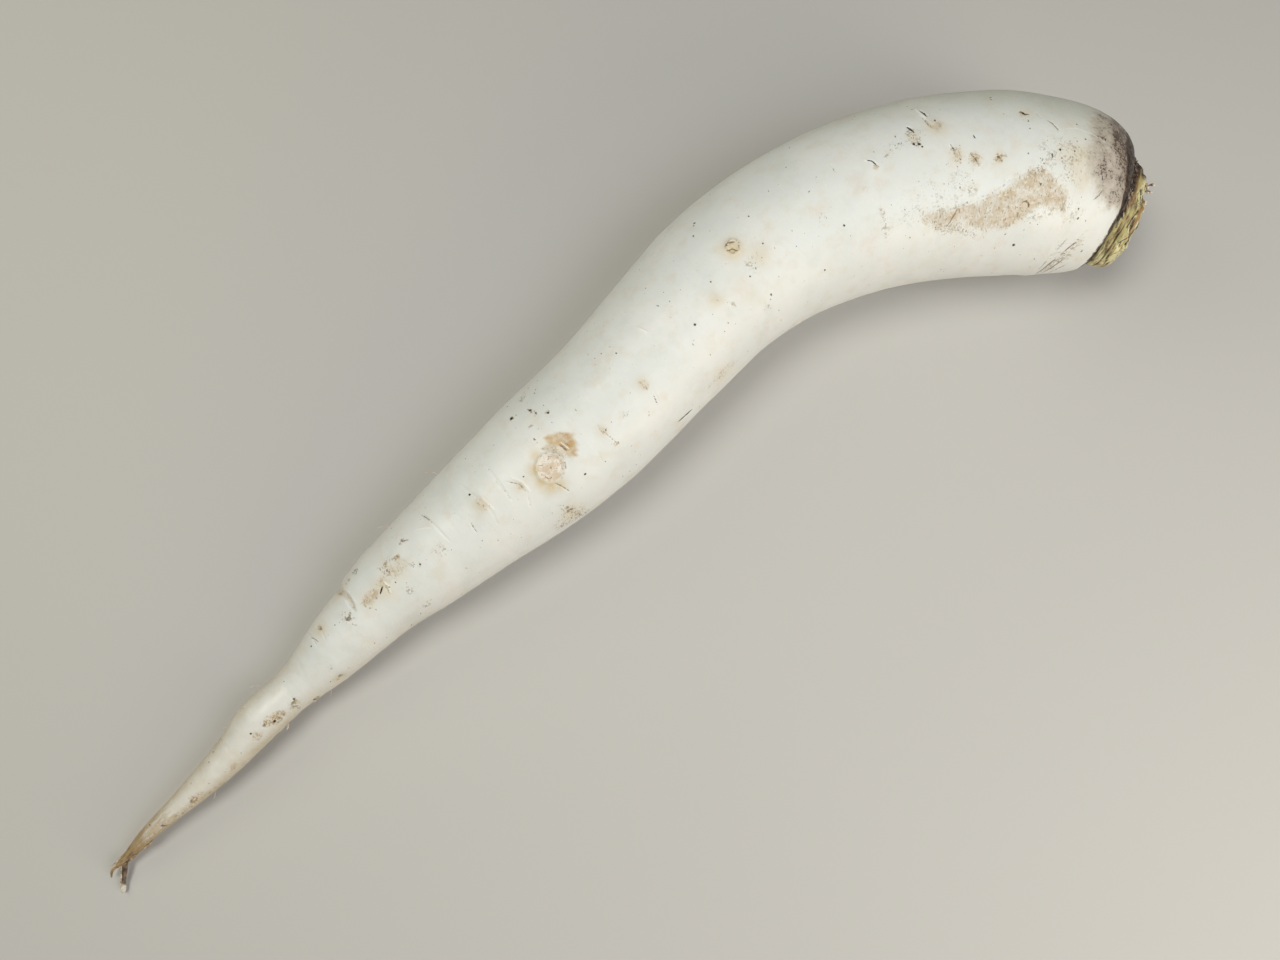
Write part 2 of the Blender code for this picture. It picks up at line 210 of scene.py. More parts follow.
# Wrinkles deep enough to divide the faces that they cross, and then the shallow ones.
DEEP_WRINKLES = (
    (0.34, -0.12, 0.25, ((259, 24), (259.4, 4), (259.7, -22))),
    (0.36, -0.14, 0.3, ((270.6, 34), (268.6, 6), (267.3, -16), (268.4, -30))),
    (0.34, -0.18, 0.4, ((286.6, 40), (285, 10), (284.4, -14))),
    (1, -1.1, 0.35, ((326, 104), (324.8, 74), (323.8, 46), (323, 24), (324.2, 2))),
    (0.34, -0.18, 0.45, ((337.6, 52), (337.2, 28), (338.4, 8))),
    (0.34, -0.22, 0.55, ((342.9, 60), (341.8, 30), (342.4, 12))),
)
SHALLOW_WRINKLES = (
    (0.34, -0.12, 0.2, ((278.4, 50), (277, 20), (277.6, -6))),
    (0.34, -0.12, 0.2, ((248.4, 60), (249.2, 30))),
    (0.34, -0.14, 0.25, ((304, 64), (303, 34), (304.4, 16))),
    (0.36, -0.16, 0.25, ((352, 66), (351.4, 20), (352.6, -16))),
    (0.36, -0.16, 0.25, ((361, 40), (360.6, 0), (361.8, -40))),
    (0.34, -0.16, 0.25, ((389, 66), (388.4, 10), (389.6, -46))),
)
TAN_STROKES = (
    (2.3, 0, 0.75, ((71.8, 15), (69.6, 12.5))),
    (0.6, 0, 0.8, ((74, 20), (72.6, 13))),
    (0.8, 0, 0.6, ((80, 13), (79, 7))),
    (1.1, 0, 0.6, ((54.4, -11.5), (52.2, -13.6))),
    (0.7, 0, 0.35, ((166.8, -15), (166.2, -21))),
    (0.8, 0, 0.8, ((72, -45), (68.1, -39), (60.1, -37), (54.8, -32))),
    (1.1, 0.1, 0.7, ((67.7, -5), (66.6, -10))),
    (1.2, 0.1, 0.7, ((62.2, -9), (60.8, -14))),
    (0.9, 0.1, 0.8, ((95.2, -1), (94.4, -5))),
    (1, 0.1, 0.4, ((101, -10), (100.8, -16))),
    (0.9, 0.1, 0.4, ((97.4, -27), (97.4, -31))),
    (1, 0, 0.5, ((43.4, 20), (42.8, 16))),
    (1.3, 0.2, 0.8, ((203, -17), (203, -26))),
    (0.7, 0.1, 0.8, ((222.9, -19), (222.7, -28))),
    (1.3, 0.2, 0.45, ((268.6, 0), (268.2, -13))),
    (0.8, 0.1, 0.8, ((255.4, -12), (254.6, -20))),
    (0.8, 0, 0.8, ((297.6, 24), (296.4, 21))),
    (0.6, 0, 0.8, ((302.2, 14), (301.6, 11))),
    (2.6, 0, 0.5, ((313, 0), (306, 2), (299.6, 1))),
    (1.8, 0, 0.9, ((320.4, 0), (317, -3), (313.6, -5))),
    (0.8, 0, 0.8, ((324.8, 56), (324, 40))),
    (0.6, 0, 0.8, ((323.8, 44), (323.2, 24), (324, 4))),
    (0.6, 0, 0.7, ((310.6, 4), (310.2, -6), (311.2, -17))),
    (1.1, 0.1, 0.8, ((241.6, -4), (238.7, -9), (237.7, -16), (237.4, -22))),
    (0.7, 0, 0.6, ((337.6, 40), (337.2, 26))),
    (0.9, 0, 0.7, ((346.6, -76), (347.2, -64))),
    (2.2, 0, 0.9, ((374.6, -33), (370.8, -40), (366.6, -42))),
    (1.6, 0, 0.5, ((381, -36), (377, -42))),
    (1.2, 0, 0.7, ((394.6, -62), (391, -44))),
    (1, 0, 1, ((410.6, -36), (405.6, -42))),
    (0.9, 0, 0.9, ((419.4, -40), (416.8, -50))),
    (1.4, 0, 0.7, ((402, -66), (412, -62), (424, -56), (434, -50))),
    (1, 0, 0.6, ((422.6, -38), (428, -24), (434, -14))),
)
# These have no relief, so each has only its half width, strength and points.
SOIL_STROKES = (
    (3, 0.7, ((79.8, 16), (79.4, 4))),
    (2, 0.6, ((68.4, -2), (66.6, -12))),
    (2, 0.7, ((62.4, -7), (60.4, -15))),
    (2.2, 0.9, ((53.4, -10), (52.6, -14))),
    (1.6, 1, ((43.6, 19), (42.8, 17))),
    (1.2, 0.8, ((90.7, 2), (87, 6), (83.6, 11))),
    (2.2, 0.6, ((84, -32), (81.6, -38))),
    (1.6, 0.5, ((66, -28), (61, -29))),
    (1.6, 1, ((41.6, -21), (37.4, -18))),
    (7.5, 0.45, ((40, -8), (28, -10), (22, -22))),
    (4, 0.45, ((30, -32), (22, -44), (14, -40))),
    (4.5, 0.35, ((84, -36), (74, -30), (62, -26))),
    (2.4, 0.6, ((82, -44), (70, -50), (56, -58))),
    (2, 0.55, ((48, -52), (36, -44), (26, -42))),
    (6, 0.25, ((95, -40), (60, -14))),
    (3.4, 0.6, ((15, -104), (12, -80), (9, -58))),
    (2.4, 0.4, ((19, -84), (15, -60))),
    (2.6, 0.5, ((150, -14), (144, -22))),
    (1.2, 0.6, ((152.8, -43), (150.4, -52))),
    (1.6, 0.6, ((162.6, -28), (163, -34))),
    (2.4, 0.4, ((120, -16), (116, -20))),
    (1.4, 0.6, ((97.2, -26), (97.4, -48))),
    (1.4, 0.7, ((213.8, -25), (213.4, -29))),
    (2, 0.5, ((187.6, -68), (179.4, -69), (171, -70))),
    (1, 0.9, ((222.4, -37), (221.6, -41))),
    (1.3, 1, ((242.8, 38), (242, 34))),
    (0.8, 1, ((236.4, 30), (235.2, 20))),
    (0.8, 1, ((232.2, 18), (232, 14))),
    (0.8, 1, ((239.8, 19), (239.6, 15))),
    (1.2, 0.6, ((236.4, 44), (229, 56))),
    (4.4, 0.65, ((253, -84), (248, -72), (241, -90))),
    (1.8, 0.8, ((248.6, -52), (246.5, -66), (245, -84))),
    (2.4, 0.6, ((291, -10), (287, -20))),
    (1.3, 1, ((297.4, 25), (296.6, 21))),
    (0.8, 0.9, ((295.7, 21), (295.2, 18))),
    (1.3, 1, ((302.5, 13), (301.5, 10))),
    (3.2, 0.8, ((308.2, 14), (304.8, 6))),
    (0.9, 0.9, ((300.2, -3), (298.4, -9))),
    (0.9, 0.8, ((298, -10), (297, -14))),
    (1.6, 0.7, ((306.2, -22), (304.8, -32))),
    (1.8, 0.8, ((305.2, -52), (303.8, -60))),
    (1.3, 1, ((315.2, 45), (316.8, 41))),
    (1.6, 0.9, ((318.6, 45), (320.6, 41))),
    (1.6, 0.6, ((320.6, -3), (317.6, -13))),
    (2.2, 1, ((325.8, 8), (328.8, 3))),
    (1.6, 0.8, ((327, -8), (328.2, -13))),
    (1, 0.8, ((338, 32), (337, 27))),
    (1, 0.4, ((343.4, -32), (345, -38))),
    (1.6, 1, ((344.8, -64), (345.4, -78))),
    (1.5, 1, ((356.2, -72), (357, -86))),
    (1.2, 0.6, ((362, -34), (361, -38))),
    (1.6, 0.7, ((361, -32), (363.4, -52), (363.4, -74))),
    (2.2, 0.9, ((374.4, -30), (371, -38), (367, -46))),
    (1.6, 0.6, ((380.4, -34), (378, -44))),
    (1.8, 0.8, ((394.8, -44), (392.2, -60))),
    (1.2, 0.7, ((406.8, -50), (406, -60))),
    (1.5, 1, ((410.8, -37), (408, -45))),
    (1.2, 1, ((417.8, -37), (417.2, -49))),
    (1.3, 1, ((423.2, -36), (421.8, -47))),
    (1.2, 0.6, ((376.9, 48), (376.4, 40))),
    (0.6, 1, ((393.2, 42), (393.8, 37))),
    (0.6, 1, ((406.4, 21), (405.6, 16))),
    (0.6, 1, ((401.9, -28), (401.3, -33))),
)
# Dots of soil: distance, turn and radius.
DOTS = (
    (71, 18.5, 0.36), (75.4, 34, 0.22), (80.5, 5, 0.42),
    (78.7, 4, 0.46), (78.1, 2, 0.3), (50.8, 35, 0.3),
    (51.2, 32, 0.28), (31.6, -6, 0.4), (43.1, -10, 0.3),
    (26, -5, 0.28), (31, -11, 0.3), (43.1, -66, 0.48),
    (15, -44, 0.4), (17, -38, 0.3), (138.2, 10, 0.28),
    (151, 36, 0.34), (151.9, 34.5, 0.26), (140.5, -11, 0.28),
    (151.2, -23, 0.28), (163, -7, 0.26), (111.6, -28, 0.36),
    (123.1, -50, 0.36), (88, -50, 0.26), (176.8, -19, 0.4),
    (201.6, 10, 0.26), (235.8, -42, 0.34), (269.5, 8, 0.34),
    (242.4, 36, 0.6), (236, 28, 0.42), (235.2, 22, 0.36),
    (232.2, 15, 0.42), (297, -12, 0.3), (344, 21, 0.28),
    (361.4, -33, 0.34), (371.1, -43, 0.44), (379.5, -21, 0.3),
)
# Round calluses where a side root healed over: distance, turn, radius of the ring, half width of
# the ring, its rise, and how corky the disc inside is.
CALLUSES = (
    (43, -40, 1.7, 0.5, 0.3, 0.25),
    (149.3, 0, 2.4, 0.6, 0.4, 0.1),
    (243.3, -20, 4.7, 0.7, 0.45, 1),
)
# Low swellings: distance, turn, half length along, half width round and rise.
SWELLINGS = (
    (166.1, -18, 1.4, 2.6, 0.45), (73, 20, 2.6, 5, 0.35),
    (67.5, -5, 2, 4, 0.3), (61.3, -11, 2, 4, 0.3),
    (95, 0, 2.4, 3.6, 0.35), (101, -13, 1.6, 3, 0.2),
    (203, -24, 2.4, 4.6, 0.35), (222.6, -28, 2.2, 5, 0.3),
    (268.4, -8, 2.4, 5, 0.3), (285.2, 10, 2.6, 5, 0.25),
    (312, -6, 3, 4, 0.3), (320, 40, 5, 6, 0.4),
    (345.4, -73, 2.2, 2.6, -0.8), (378, 60, 5, 4, 0.35),
    (357, -84, 1.8, 1.8, 0.4), (363, -80, 1.6, 1.6, 0.3),
)
# Stained areas, as a mask's name, its strength, how softly its edge fades in mm, and its outline.
PATCHES = (
    ("tan", 0.85, 3.2, (
        (86, -38), (69.4, -35), (60.5, -34), (52, -28), (48, -21), (37.3, -17), (31.6, -23),
        (25, -31), (25.6, -43), (37.3, -43), (43.1, -52), (52.1, -57), (66.3, -53), (78.4, -50),
    )),
    ("brown", 1, 0.6, (
        (238.4, 2), (233.1, -3), (230.9, -11), (232, -20), (234.9, -27), (236.9, -22), (236.4, -13),
        (238.9, -5),
    )),
    ("violet", 0.55, 8, (
        (-4, 125), (12, 86), (19.5, 52), (23, 32), (23.5, 10), (24, -6), (21, -18), (15, -29),
        (8, -38), (-4, -36),
    )),
    ("violet", 1, 6, (
        (-5, 135), (8.5, 86), (17.5, 46), (17.5, 26), (14.5, 9), (9, -8), (6, -20), (-5, -34),
    )),
)
# The side of the shoulder that light has turned slightly green, and how softly this ends, in mm.
GREEN_SIDE = (
    (-10, 175), (40, 165), (112, 150), (125, 75), (95, 36), (60, 24), (25, 4), (-10, 0),
)
GREEN_SOFT = 16.0
# Soft, yellowish tints: distance, turn, radius and strength.
TAN_CLOUDS = (
    (149.8, -0.8, 4.6, 1), (144, -17, 5, 0.5), (179, -69, 6, 0.35),
    (156, -26, 7, 0.22), (43, -40, 2.6, 0.7), (244.6, -18, 7.4, 0.4),
    (244.6, -5, 2.8, 0.8), (247.4, -14, 3.4, 1), (248.2, -24, 3.4, 1),
    (247, -32, 3.4, 1), (244.4, -36, 3, 0.8), (247, -70, 6, 0.45),
    (246, -30, 5, 0.45), (239, -8, 5, 0.45), (53, -12, 2.4, 0.6),
    (61.4, -11, 2.8, 0.6), (67.4, -7, 3, 0.6), (79.6, 9, 2.4, 0.4),
    (71.6, 14, 4.4, 0.6), (166.4, -18, 3.4, 0.6), (24, -8, 7, 0.55),
    (21, -20, 6, 0.45), (42, 18, 3, 0.45), (203, -20, 3, 0.55),
    (222.8, -24, 2.6, 0.5), (255, -16, 3, 0.4), (268.6, -6, 3.6, 0.6),
    (312, -6, 5, 0.6), (318, -4, 4, 0.5), (304, 0, 6, 0.35),
    (324.4, 50, 4, 0.55), (337.6, 28, 3.4, 0.6), (346, -76, 2.6, 0.6),
)

# The far side and the underside have scars too, at seeded places between these distances and turns.
HIDDEN_SCARS = 22
HIDDEN_FROM, HIDDEN_TO = 58.0, 400.0
HIDDEN_TURNS = (86.0, 262.0)

# The skin's masks, each a number from 0 to 1 at every point, which the material reads.
MASKS = (
    "tan", "halo", "tail", "brown", "line", "soil", "dark", "pale", "cork", "violet", "husk", "rim", "green"
)
# Where along the axis the skin's colours begin and are full: the husk, the yellow of the tail, and
# the darker, warmer tint of its two sides, which is painted shade and warm bounce light.
HUSK_FROM, HUSK_FULL = 412.0, 444.0
TAIL_FULL = 440.0
PAINTED_FLANKS_FROM, PAINTED_FLANKS_FULL, PAINTED_FLANKS_SHARE = 240.0, 330.0, 0.24
# How far the soil round the crown reaches along the axis, as turns in degrees and mm.
RIM_TURNS = (-180, -90, -60, -30, -14, 0, 14, 32, 60, 90, 180)
RIM_REACH = (1.0, 1.4, 1.4, 1.6, 2.6, 5.0, 7.8, 8.6, 7.6, 5.0, 1.0)
# Where the skin leaves the solid's form a little: distance, how far this spreads, its shift
# towards +Y and its extra width, in mm.
TRIMS = (
    (23, 10, -0.75, 0),
    (15, 6, 0, 1),
    (31, 6, 0, -0.5),
    (240, 13, 0, 0.6),
    (277, 13, 0, -0.55),
    (312, 8, 0.45, 0.2),
    (327, 7, -0.45, -0.3),
    (355, 9, -0.45, -0.1),
    (424, 14, 0.6, -0.3),
)

# Fine rootlets that are left on the skin: distance, turn, length and thickness in mm.
ROOTLETS = (
    (274, 84, 6.4, 0.34),
    (299, 80, 3.6, 0.3),
    (334, 118, 4, 0.32),
    (352, -112, 3, 0.32),
    (368, 78, 4.4, 0.26),
    (370, -92, 2.4, 0.55),
    (385, 76, 1.6, 0.26),
    (404, -104, 2.6, 0.3),
    (357.4, -84, 1.3, 0.55),
)
# The thin flat rootlet beside the tip: x, y and height of its middle, width and thickness.
TIP_ROOTLET = (
    (-183.6, 44.4, 5.2, 1.4, 0.9),
    (-185.2, 43.8, 4.4, 2, 0.8),
    (-186.8, 43, 3.6, 2.3, 0.7),
    (-187.8, 41.5, 3, 2.1, 0.6),
    (-189.2, 40, 2.5, 1.8, 0.6),
    (-190.4, 38.6, 2, 1.6, 0.6),
    (-191.2, 37.6, 1.6, 1.7, 0.9),
    (-192, 36.4, 1.4, 1.9, 1.3),
    (-192.7, 35.4, 1.2, 1.1, 1),
)
# The share of the rootlet's length at which its white end begins.
WHITE_END_FROM = 0.74
# Torn skin and dry fibres about the tip, each as x, y, height, width and thickness.
TIP_FIBRES = (
    (
        (-171.6, 46, 7, 0.8, 0.5),
        (-174.5, 44.6, 6.4, 1.7, 0.45),
        (-176.6, 44.1, 5.8, 1.8, 0.45),
        (-178.4, 44.6, 5.4, 1.5, 0.45),
        (-180.9, 44.2, 5, 1.8, 0.45),
        (-183, 43.8, 4.7, 1.7, 0.45),
        (-185, 43.4, 4.4, 1.2, 0.4),
        (-187.5, 43.5, 4.2, 0.8, 0.35),
        (-190, 43.7, 4.1, 0.4, 0.3),
    ),
    (
        (-186.6, 44.4, 5.6, 0.8, 0.6),
        (-189, 44.4, 5, 0.8, 0.5),
        (-190.9, 44, 4.3, 0.7, 0.5),
        (-192, 43.2, 3.3, 0.5, 0.4),
        (-193.2, 42, 2.2, 0.3, 0.2),
    ),
    (
        (-183, 46.3, 6, 0.4, 0.4),
        (-186.6, 45.4, 5.8, 0.5, 0.4),
        (-189.6, 44.9, 5.4, 0.3, 0.3),
        (-191.4, 44.9, 5.2, 0.2, 0.2),
    ),
    (
        (-187.3, 43.9, 4, 0.4, 0.5),
        (-188.8, 42.2, 3.1, 0.5, 0.5),
        (-189.9, 40.5, 2.6, 0.5, 0.5),
        (-191.2, 39, 2.1, 0.5, 0.5),
        (-192.2, 37.8, 1.7, 0.4, 0.5),
    ),
)

# Leaf bases in tiers round the crown's axis, from the rim to the heart: how many, the radius of
# the outer face, the height of the cut above the seat, the wall's thickness, half the angle that
# each takes up, and the outward lean.
TIERS = (
    (7, 18.8, 3.2, 2.4, 36, 0.12),
    (6, 18, 5.8, 2.6, 40, 0.12),
    (6, 16.2, 7.8, 2.6, 38, 0.1),
    (5, 13.8, 9.4, 2.6, 44, 0.06),
    (4, 11.2, 10.3, 2.6, 52, 0.03),
    (3, 8.2, 10.9, 2.6, 64, 0),
    (2, 5.2, 11, 2.6, 84, 0),
)
# Thick stalk bases: the angle of the middle, half the angle taken up, outer radius, height,
# thickness, how much lower the outer side is cut, and tone.
CHUNKS = (
    (181, 25, 20.4, 8.6, 7.2, 0.9, 0.8),
    (208, 20, 19.6, 9.6, 6, 0.5, 0.35),
    (4, 22, 19.4, 8.8, 5, 0.55, 0.55),
    (-26, 18, 19.2, 7.6, 4.8, 0.4, 0.65),
    (128, 19, 18.4, 6.6, 3.4, 0.3, 0.3),
    (-70, 20, 19.4, 6.8, 4.2, 0.4, 0.45),
    (-118, 22, 19.6, 7.4, 4.6, 0.3, 0.25),
)
# The foot of each leaf base below the seat, and how square its cross-section is: 1 is round.
LEAF_FOOT = -0.6
LEAF_SQUARE = 0.55
# The core that the leaf bases stand on, as heights above the seat and radii, and the gap under it.
CORE = ((0.4, 17.4), (2.0, 16.6), (3.8, 14.6), (5.6, 11.8), (7.2, 8.4), (8.4, 4.2))
SOCKET_GAP = 0.3
# The leaf bases about this angle are cut this much lower, in mm.
TOP_DROP, TOP_ANGLE, TOP_SPREAD = 2.2, math.radians(48), math.radians(48)
# Dry curls on the cut: where each starts across and up from the crown's middle, its level above
# the seat, and its length.
CURLS = (
    (6.4, 11, 6.4, 3.6),
    (5, 12.2, 6, 4),
    (8.2, 10, 6.2, 3),
    (3.4, 11.4, 6.8, 3.2),
    (7, 12.6, 5.2, 2.6),
    (-0.8, 12.2, 6.8, 2.6),
    (-2.4, 11.4, 7.2, 2.4),
    (9.6, 7, 7.4, 3),
    (1.6, 9, 8.6, 2.2),
    (-8, 9.6, 7.4, 1.8),
    (11.4, -2, 7.6, 2.2),
    (2, -9, 8.4, 2),
    (9, -7, 8, 2.2),
)
# Dark crevices of the crown's side: half width, depth, and points of angle and level.
CREVICES = (
    (0.6, 0.7, ((133, 5.4), (123, 5.9), (112, 6.9))),
    (0.36, 0.4, ((89, 4.8), (93, 5.6), (98, 6.5))),
    (0.24, 0.2, ((101, 5.1), (105, 4.9))),
    (0.24, 0.2, ((155, 5.4), (149, 6.6), (145, 8))),
    (0.18, 0.15, ((163, 3.2), (152, 3.6), (140, 2.8))),
    (0.26, 0.2, ((110, 1.3), (123, 1.2), (137, 1.5))),
    (0.18, 0.1, ((173, 4.4), (167, 5.6), (160, 7.6))),
    (0.2, 0.15, ((196, 3), (184, 3.6), (176, 3.2))),
    (0.24, 0.2, ((62, 4), (52, 3.4), (40, 3.8))),
    (0.26, 0.2, ((20, 4.6), (4, 5.2), (-10, 4.4))),
    (0.26, 0.2, ((-40, 3.8), (-58, 4.6))),
    (0.3, 0.3, ((-84, 3.6), (-104, 4.4))),
    (0.22, 0.2, ((-130, 3), (-150, 3.8))),
)
# The radius that turns an angle on the crown's side into mm.
WALL_RADIUS = 18.0
# How a point's openness is measured: the number of rays and how far each looks, in mm.
OPEN_RAYS = 14
OPEN_REACH = 5.0
# Dark dry fibres that lie in the groove under the crown: how many, and the angles they take up.
GROOVE_FIBRES = 210
GROOVE_FROM, GROOVE_TO = math.radians(4), math.radians(122)
# The grain of the one skin that the crown's lumps are merged into, in mm.
CROWN_VOXEL = 0.30

SEED = 11

# The map for baked colours has two bands: the share of the skin's way in the first, how far apart
# the bands start, how high they are, and the gaps at their sides and at their foot.
BAND_SHARE = 0.46
BAND_STEP, BAND_HEIGHT = 0.51, 0.48
BAND_SIDE_GAP, BAND_FOOT_GAP = 0.01, 0.005

# Faint mottling of the skin: the noise's scale, detail and roughness, the values that it rises
# between, its share and its tint.
MOTTLES = (
    (150, 4, 0.55, 0.5, 0.74, 0.55, (0.74, 0.71, 0.61)),
    (85, 4, 0.6, 0.5, 0.72, 0.45, (0.69, 0.72, 0.69)),
    (110, 5, 0.65, 0.54, 0.74, 0.4, (0.76, 0.66, 0.57)),
)
# Specks of soil: the scale of their cells, the smallest and largest radius as a share of a cell, and
# the share of cells without one where there is no soil and where there is much.
SPECKS = (
    (300, 0.07, 0.14, 0.95, 0.55),
    (700, 0.08, 0.2, 0.95, 0.35),
    (1500, 0.12, 0.28, 0.975, 0.4),
)

# The eye stands over the drawing's zero, and looks down with this tilt, turned round Z.
EYE_HEIGHT = 357.0
EYE_TILT = math.radians(11.0)
EYE_TURN = math.radians(33.66)
LENS, SENSOR_WIDTH = 27.0, 36.0
# The floor's width and how far it lies under the root, in metres.
FLOOR_SIZE = 12.0
FLOOR_GAP = 0.0002


def smooth(x, low, high):
    """0 below low, 1 above high, and a smooth step between."""
    u = np.clip((x - low) / (high - low), 0.0, 1.0)
    return u * u * (3 - 2 * u)


def bumps(points, size):
    """Smooth noise from -1 to 1 at points in mm, with lumps of about this size."""
    return np.array([noise.noise(p) for p in (points / size).tolist()])


def bell(x, width):
    """1 at zero, and falling away smoothly over this width."""
    return np.exp(-((x / width) ** 2))


def turned_from(turn, degrees):
    """How far a turn in radians is past an angle in degrees, the shorter way round."""
    return np.remainder(turn - math.radians(degrees) + math.pi, 2 * math.pi) - math.pi


def along_stretch(x, y, reach, swing):
    """The share along a straight stretch that is nearest to each point, and how far off it lies."""
    share = np.clip((x * reach + y * swing) / (reach**2 + swing**2), 0.0, 1.0)
    return share, np.hypot(x - share * reach, y - share * swing)


def raise_mask(masks, name, values):
    """Lifts a mask to these values wherever they are higher."""
    masks[name] = np.maximum(masks[name], values)


class Axis:
    """The root's curved axis with its radius, read at distances from the crown's seat."""

    def __init__(self, stations):
        self.rows = np.array(stations)
        steps = np.hypot(*np.diff(self.rows[:, :2], axis=0).T)
        self.knots = np.concatenate([[0.0], np.cumsum(steps)])
        self.slopes = np.gradient(self.rows, self.knots, axis=0)
        self.length = self.knots[-1]
        self.distances = self.length * np.linspace(0, 1, AXIS_READINGS) ** 2
        radii = self.radius(self.distances)
        way = np.hypot(np.diff(self.distances), np.diff(radii))
        self.ways = np.concatenate([[0.0], np.cumsum(way)])

    def row(self, distance):
        """The axis between its stations, as a curve that keeps their slopes."""
        at = np.clip(distance, 0.0, self.length)
        k = np.clip(np.searchsorted(self.knots, at, side="right") - 1, 0, len(self.knots) - 2)
        span = (self.knots[k + 1] - self.knots[k])[:, None]
        u = (at - self.knots[k])[:, None] / span
        start = (1 + 2 * u) * (1 - u) ** 2 * self.rows[k] + u * (1 - u) ** 2 * span * self.slopes[k]
        end = u * u * (3 - 2 * u) * self.rows[k + 1] + u * u * (u - 1) * span * self.slopes[k + 1]
        return start + end

    def radius(self, distance):
        """The root's radius, which the shoulder rounds off towards the crown's seat."""
        full = self.row(distance)[:, 3] / 2
        rest = 1 - np.clip(distance, 0.0, SHOULDER_LENGTH) / SHOULDER_LENGTH
        share = (1 - rest**SHOULDER_POWER) ** (1 / SHOULDER_POWER)
        return SEAT_RADIUS + (full - SEAT_RADIUS) * np.where(distance < SHOULDER_LENGTH, share, 1.0)

    def frame(self, distance):
        """Points of the axis, and the directions along it to the tip and across it towards +Y."""
        centre = self.row(distance)[:, :3] - BOX_MIDDLE
        along = self.row(distance + 0.5)[:, :3] - self.row(distance - 0.5)[:, :3]
        along[:, 2] = 0.0
        along /= np.linalg.norm(along, axis=1)[:, None]
        across = np.stack([along[:, 1], -along[:, 0], np.zeros(len(along))], axis=1)
        return centre, along, across

    def way_at(self, distance):
        """The way along the skin from the seat to this distance of the axis."""
        return np.interp(distance, self.distances, self.ways)


class Skin:
    """Points on the skin, each with its way along it in mm and its turn in radians."""

    def __init__(self, axis, way, turn):
        self.axis, self.way, self.turn = axis, way, turn
        last = axis.ways[-1]
        on_skin = np.clip(way, 0.0, last)
        self.distance = np.interp(on_skin, axis.ways, axis.distances)
        in_socket = way < 0
        self.radius = axis.radius(self.distance)
        self.radius[in_socket] = SEAT_RADIUS + way[in_socket]
        past = way > last
        self.radius[past] *= 1 - (way[past] - last) / TAIL_RING_STEP
        sink = SOCKET_DEPTH * smooth(-way, 0.0, SOCKET_SLOPE)
        self.distance = self.distance + sink
        centre, along, across = axis.frame(self.distance)
        for at, span, shift, wider in TRIMS:
            share = np.where(in_socket, 0.0, bell(self.distance - at, span))
            centre = centre + across * (shift * share)[:, None]
            self.radius = self.radius + wider / 2 * share
        self.outward = across * np.sin(turn)[:, None] + np.array([0, 0, 1.0]) * np.cos(turn)[:, None]
        step = 0.2
        wider = axis.radius(self.distance + step) - axis.radius(np.maximum(self.distance - step, 0))
        slope = np.clip(wider / (2 * step), -1.0, 3.0)[:, None]
        normal = self.outward - slope * along
        self.normal = normal / np.linalg.norm(normal, axis=1)[:, None]
        self.points = centre + self.outward * self.radius[:, None]

    def offsets(self, distance, turn):
        """How far each point lies from a place on the skin, along it and round it, in mm."""
        return self.way - self.axis.way_at(distance), turned_from(self.turn, turn) * self.radius

    def from_stroke(self, points):
        """Each point's distance from a line through places on the skin, and its share along it."""
        nearest = np.full(len(self.way), 1e9)
        share = np.zeros(len(self.way))
        for k, (start, end) in enumerate(zip(points[:-1], points[1:])):
            along, around = self.offsets(*start)
            radius = float(self.axis.radius(np.array([start[0]]))[0])
            reach = self.axis.way_at(end[0]) - self.axis.way_at(start[0])
            swing = math.radians(end[1] - start[1]) * radius
            u, away = along_stretch(along, around, reach, swing)
            closer = away < nearest
            nearest = np.where(closer, away, nearest)
            share = np.where(closer, (k + u) / (len(points) - 1), share)
        return nearest, share

    def inside(self, outline):
        """How far each point lies inside an outline of places on the skin; outside is negative."""
        middle = np.mean(outline, axis=0)
        along, around = self.offsets(*middle)
        radius = float(self.axis.radius(np.array([max(middle[0], 4.0)]))[0])
        corners = []
        for distance, turn in outline:
            way = self.axis.way_at(max(distance, 0.0)) + min(distance, 0.0)
            corners.append((way - self.axis.way_at(middle[0]), math.radians(turn - middle[1]) * radius))
        around = around / np.maximum(self.radius, 1e-6) * radius
        nearest = np.full(len(along), 1e9)
        within = np.zeros(len(along), bool)
        for (a, b), (c, d) in zip(corners, corners[1:] + corners[:1]):
            nearest = np.minimum(nearest, along_stretch(along - a, around - b, c - a, d - b)[1])
            if b != d:
                crosses = (around > b) != (around > d)
                within ^= crosses & (along < a + (around - b) * (c - a) / (d - b))
        return np.where(within, nearest, -nearest)


def hidden_scars(chance):
    """Dark slits with tan lips on the sides that do not show, at seeded places."""
    slits, lips = [], []
    for k in range(HIDDEN_SCARS):
        distance = HIDDEN_FROM + (HIDDEN_TO - HIDDEN_FROM) * (k + chance.uniform(0.1, 0.9)) / HIDDEN_SCARS
        turn = chance.uniform(*HIDDEN_TURNS)
        swing = chance.uniform(4.0, 9.0) * (1 + distance / 300)
        shift = chance.uniform(-0.6, 0.6)
        ends = ((distance, turn - swing / 2), (distance + shift, turn + swing / 2))
        slits.append((chance.uniform(0.16, 0.32), -chance.uniform(0.2, 0.45), chance.uniform(0.5, 1.0), ends))
        lips.append((chance.uniform(0.7, 1.4), 0.15, chance.uniform(0.4, 0.9), ends))
    return tuple(slits), tuple(lips)


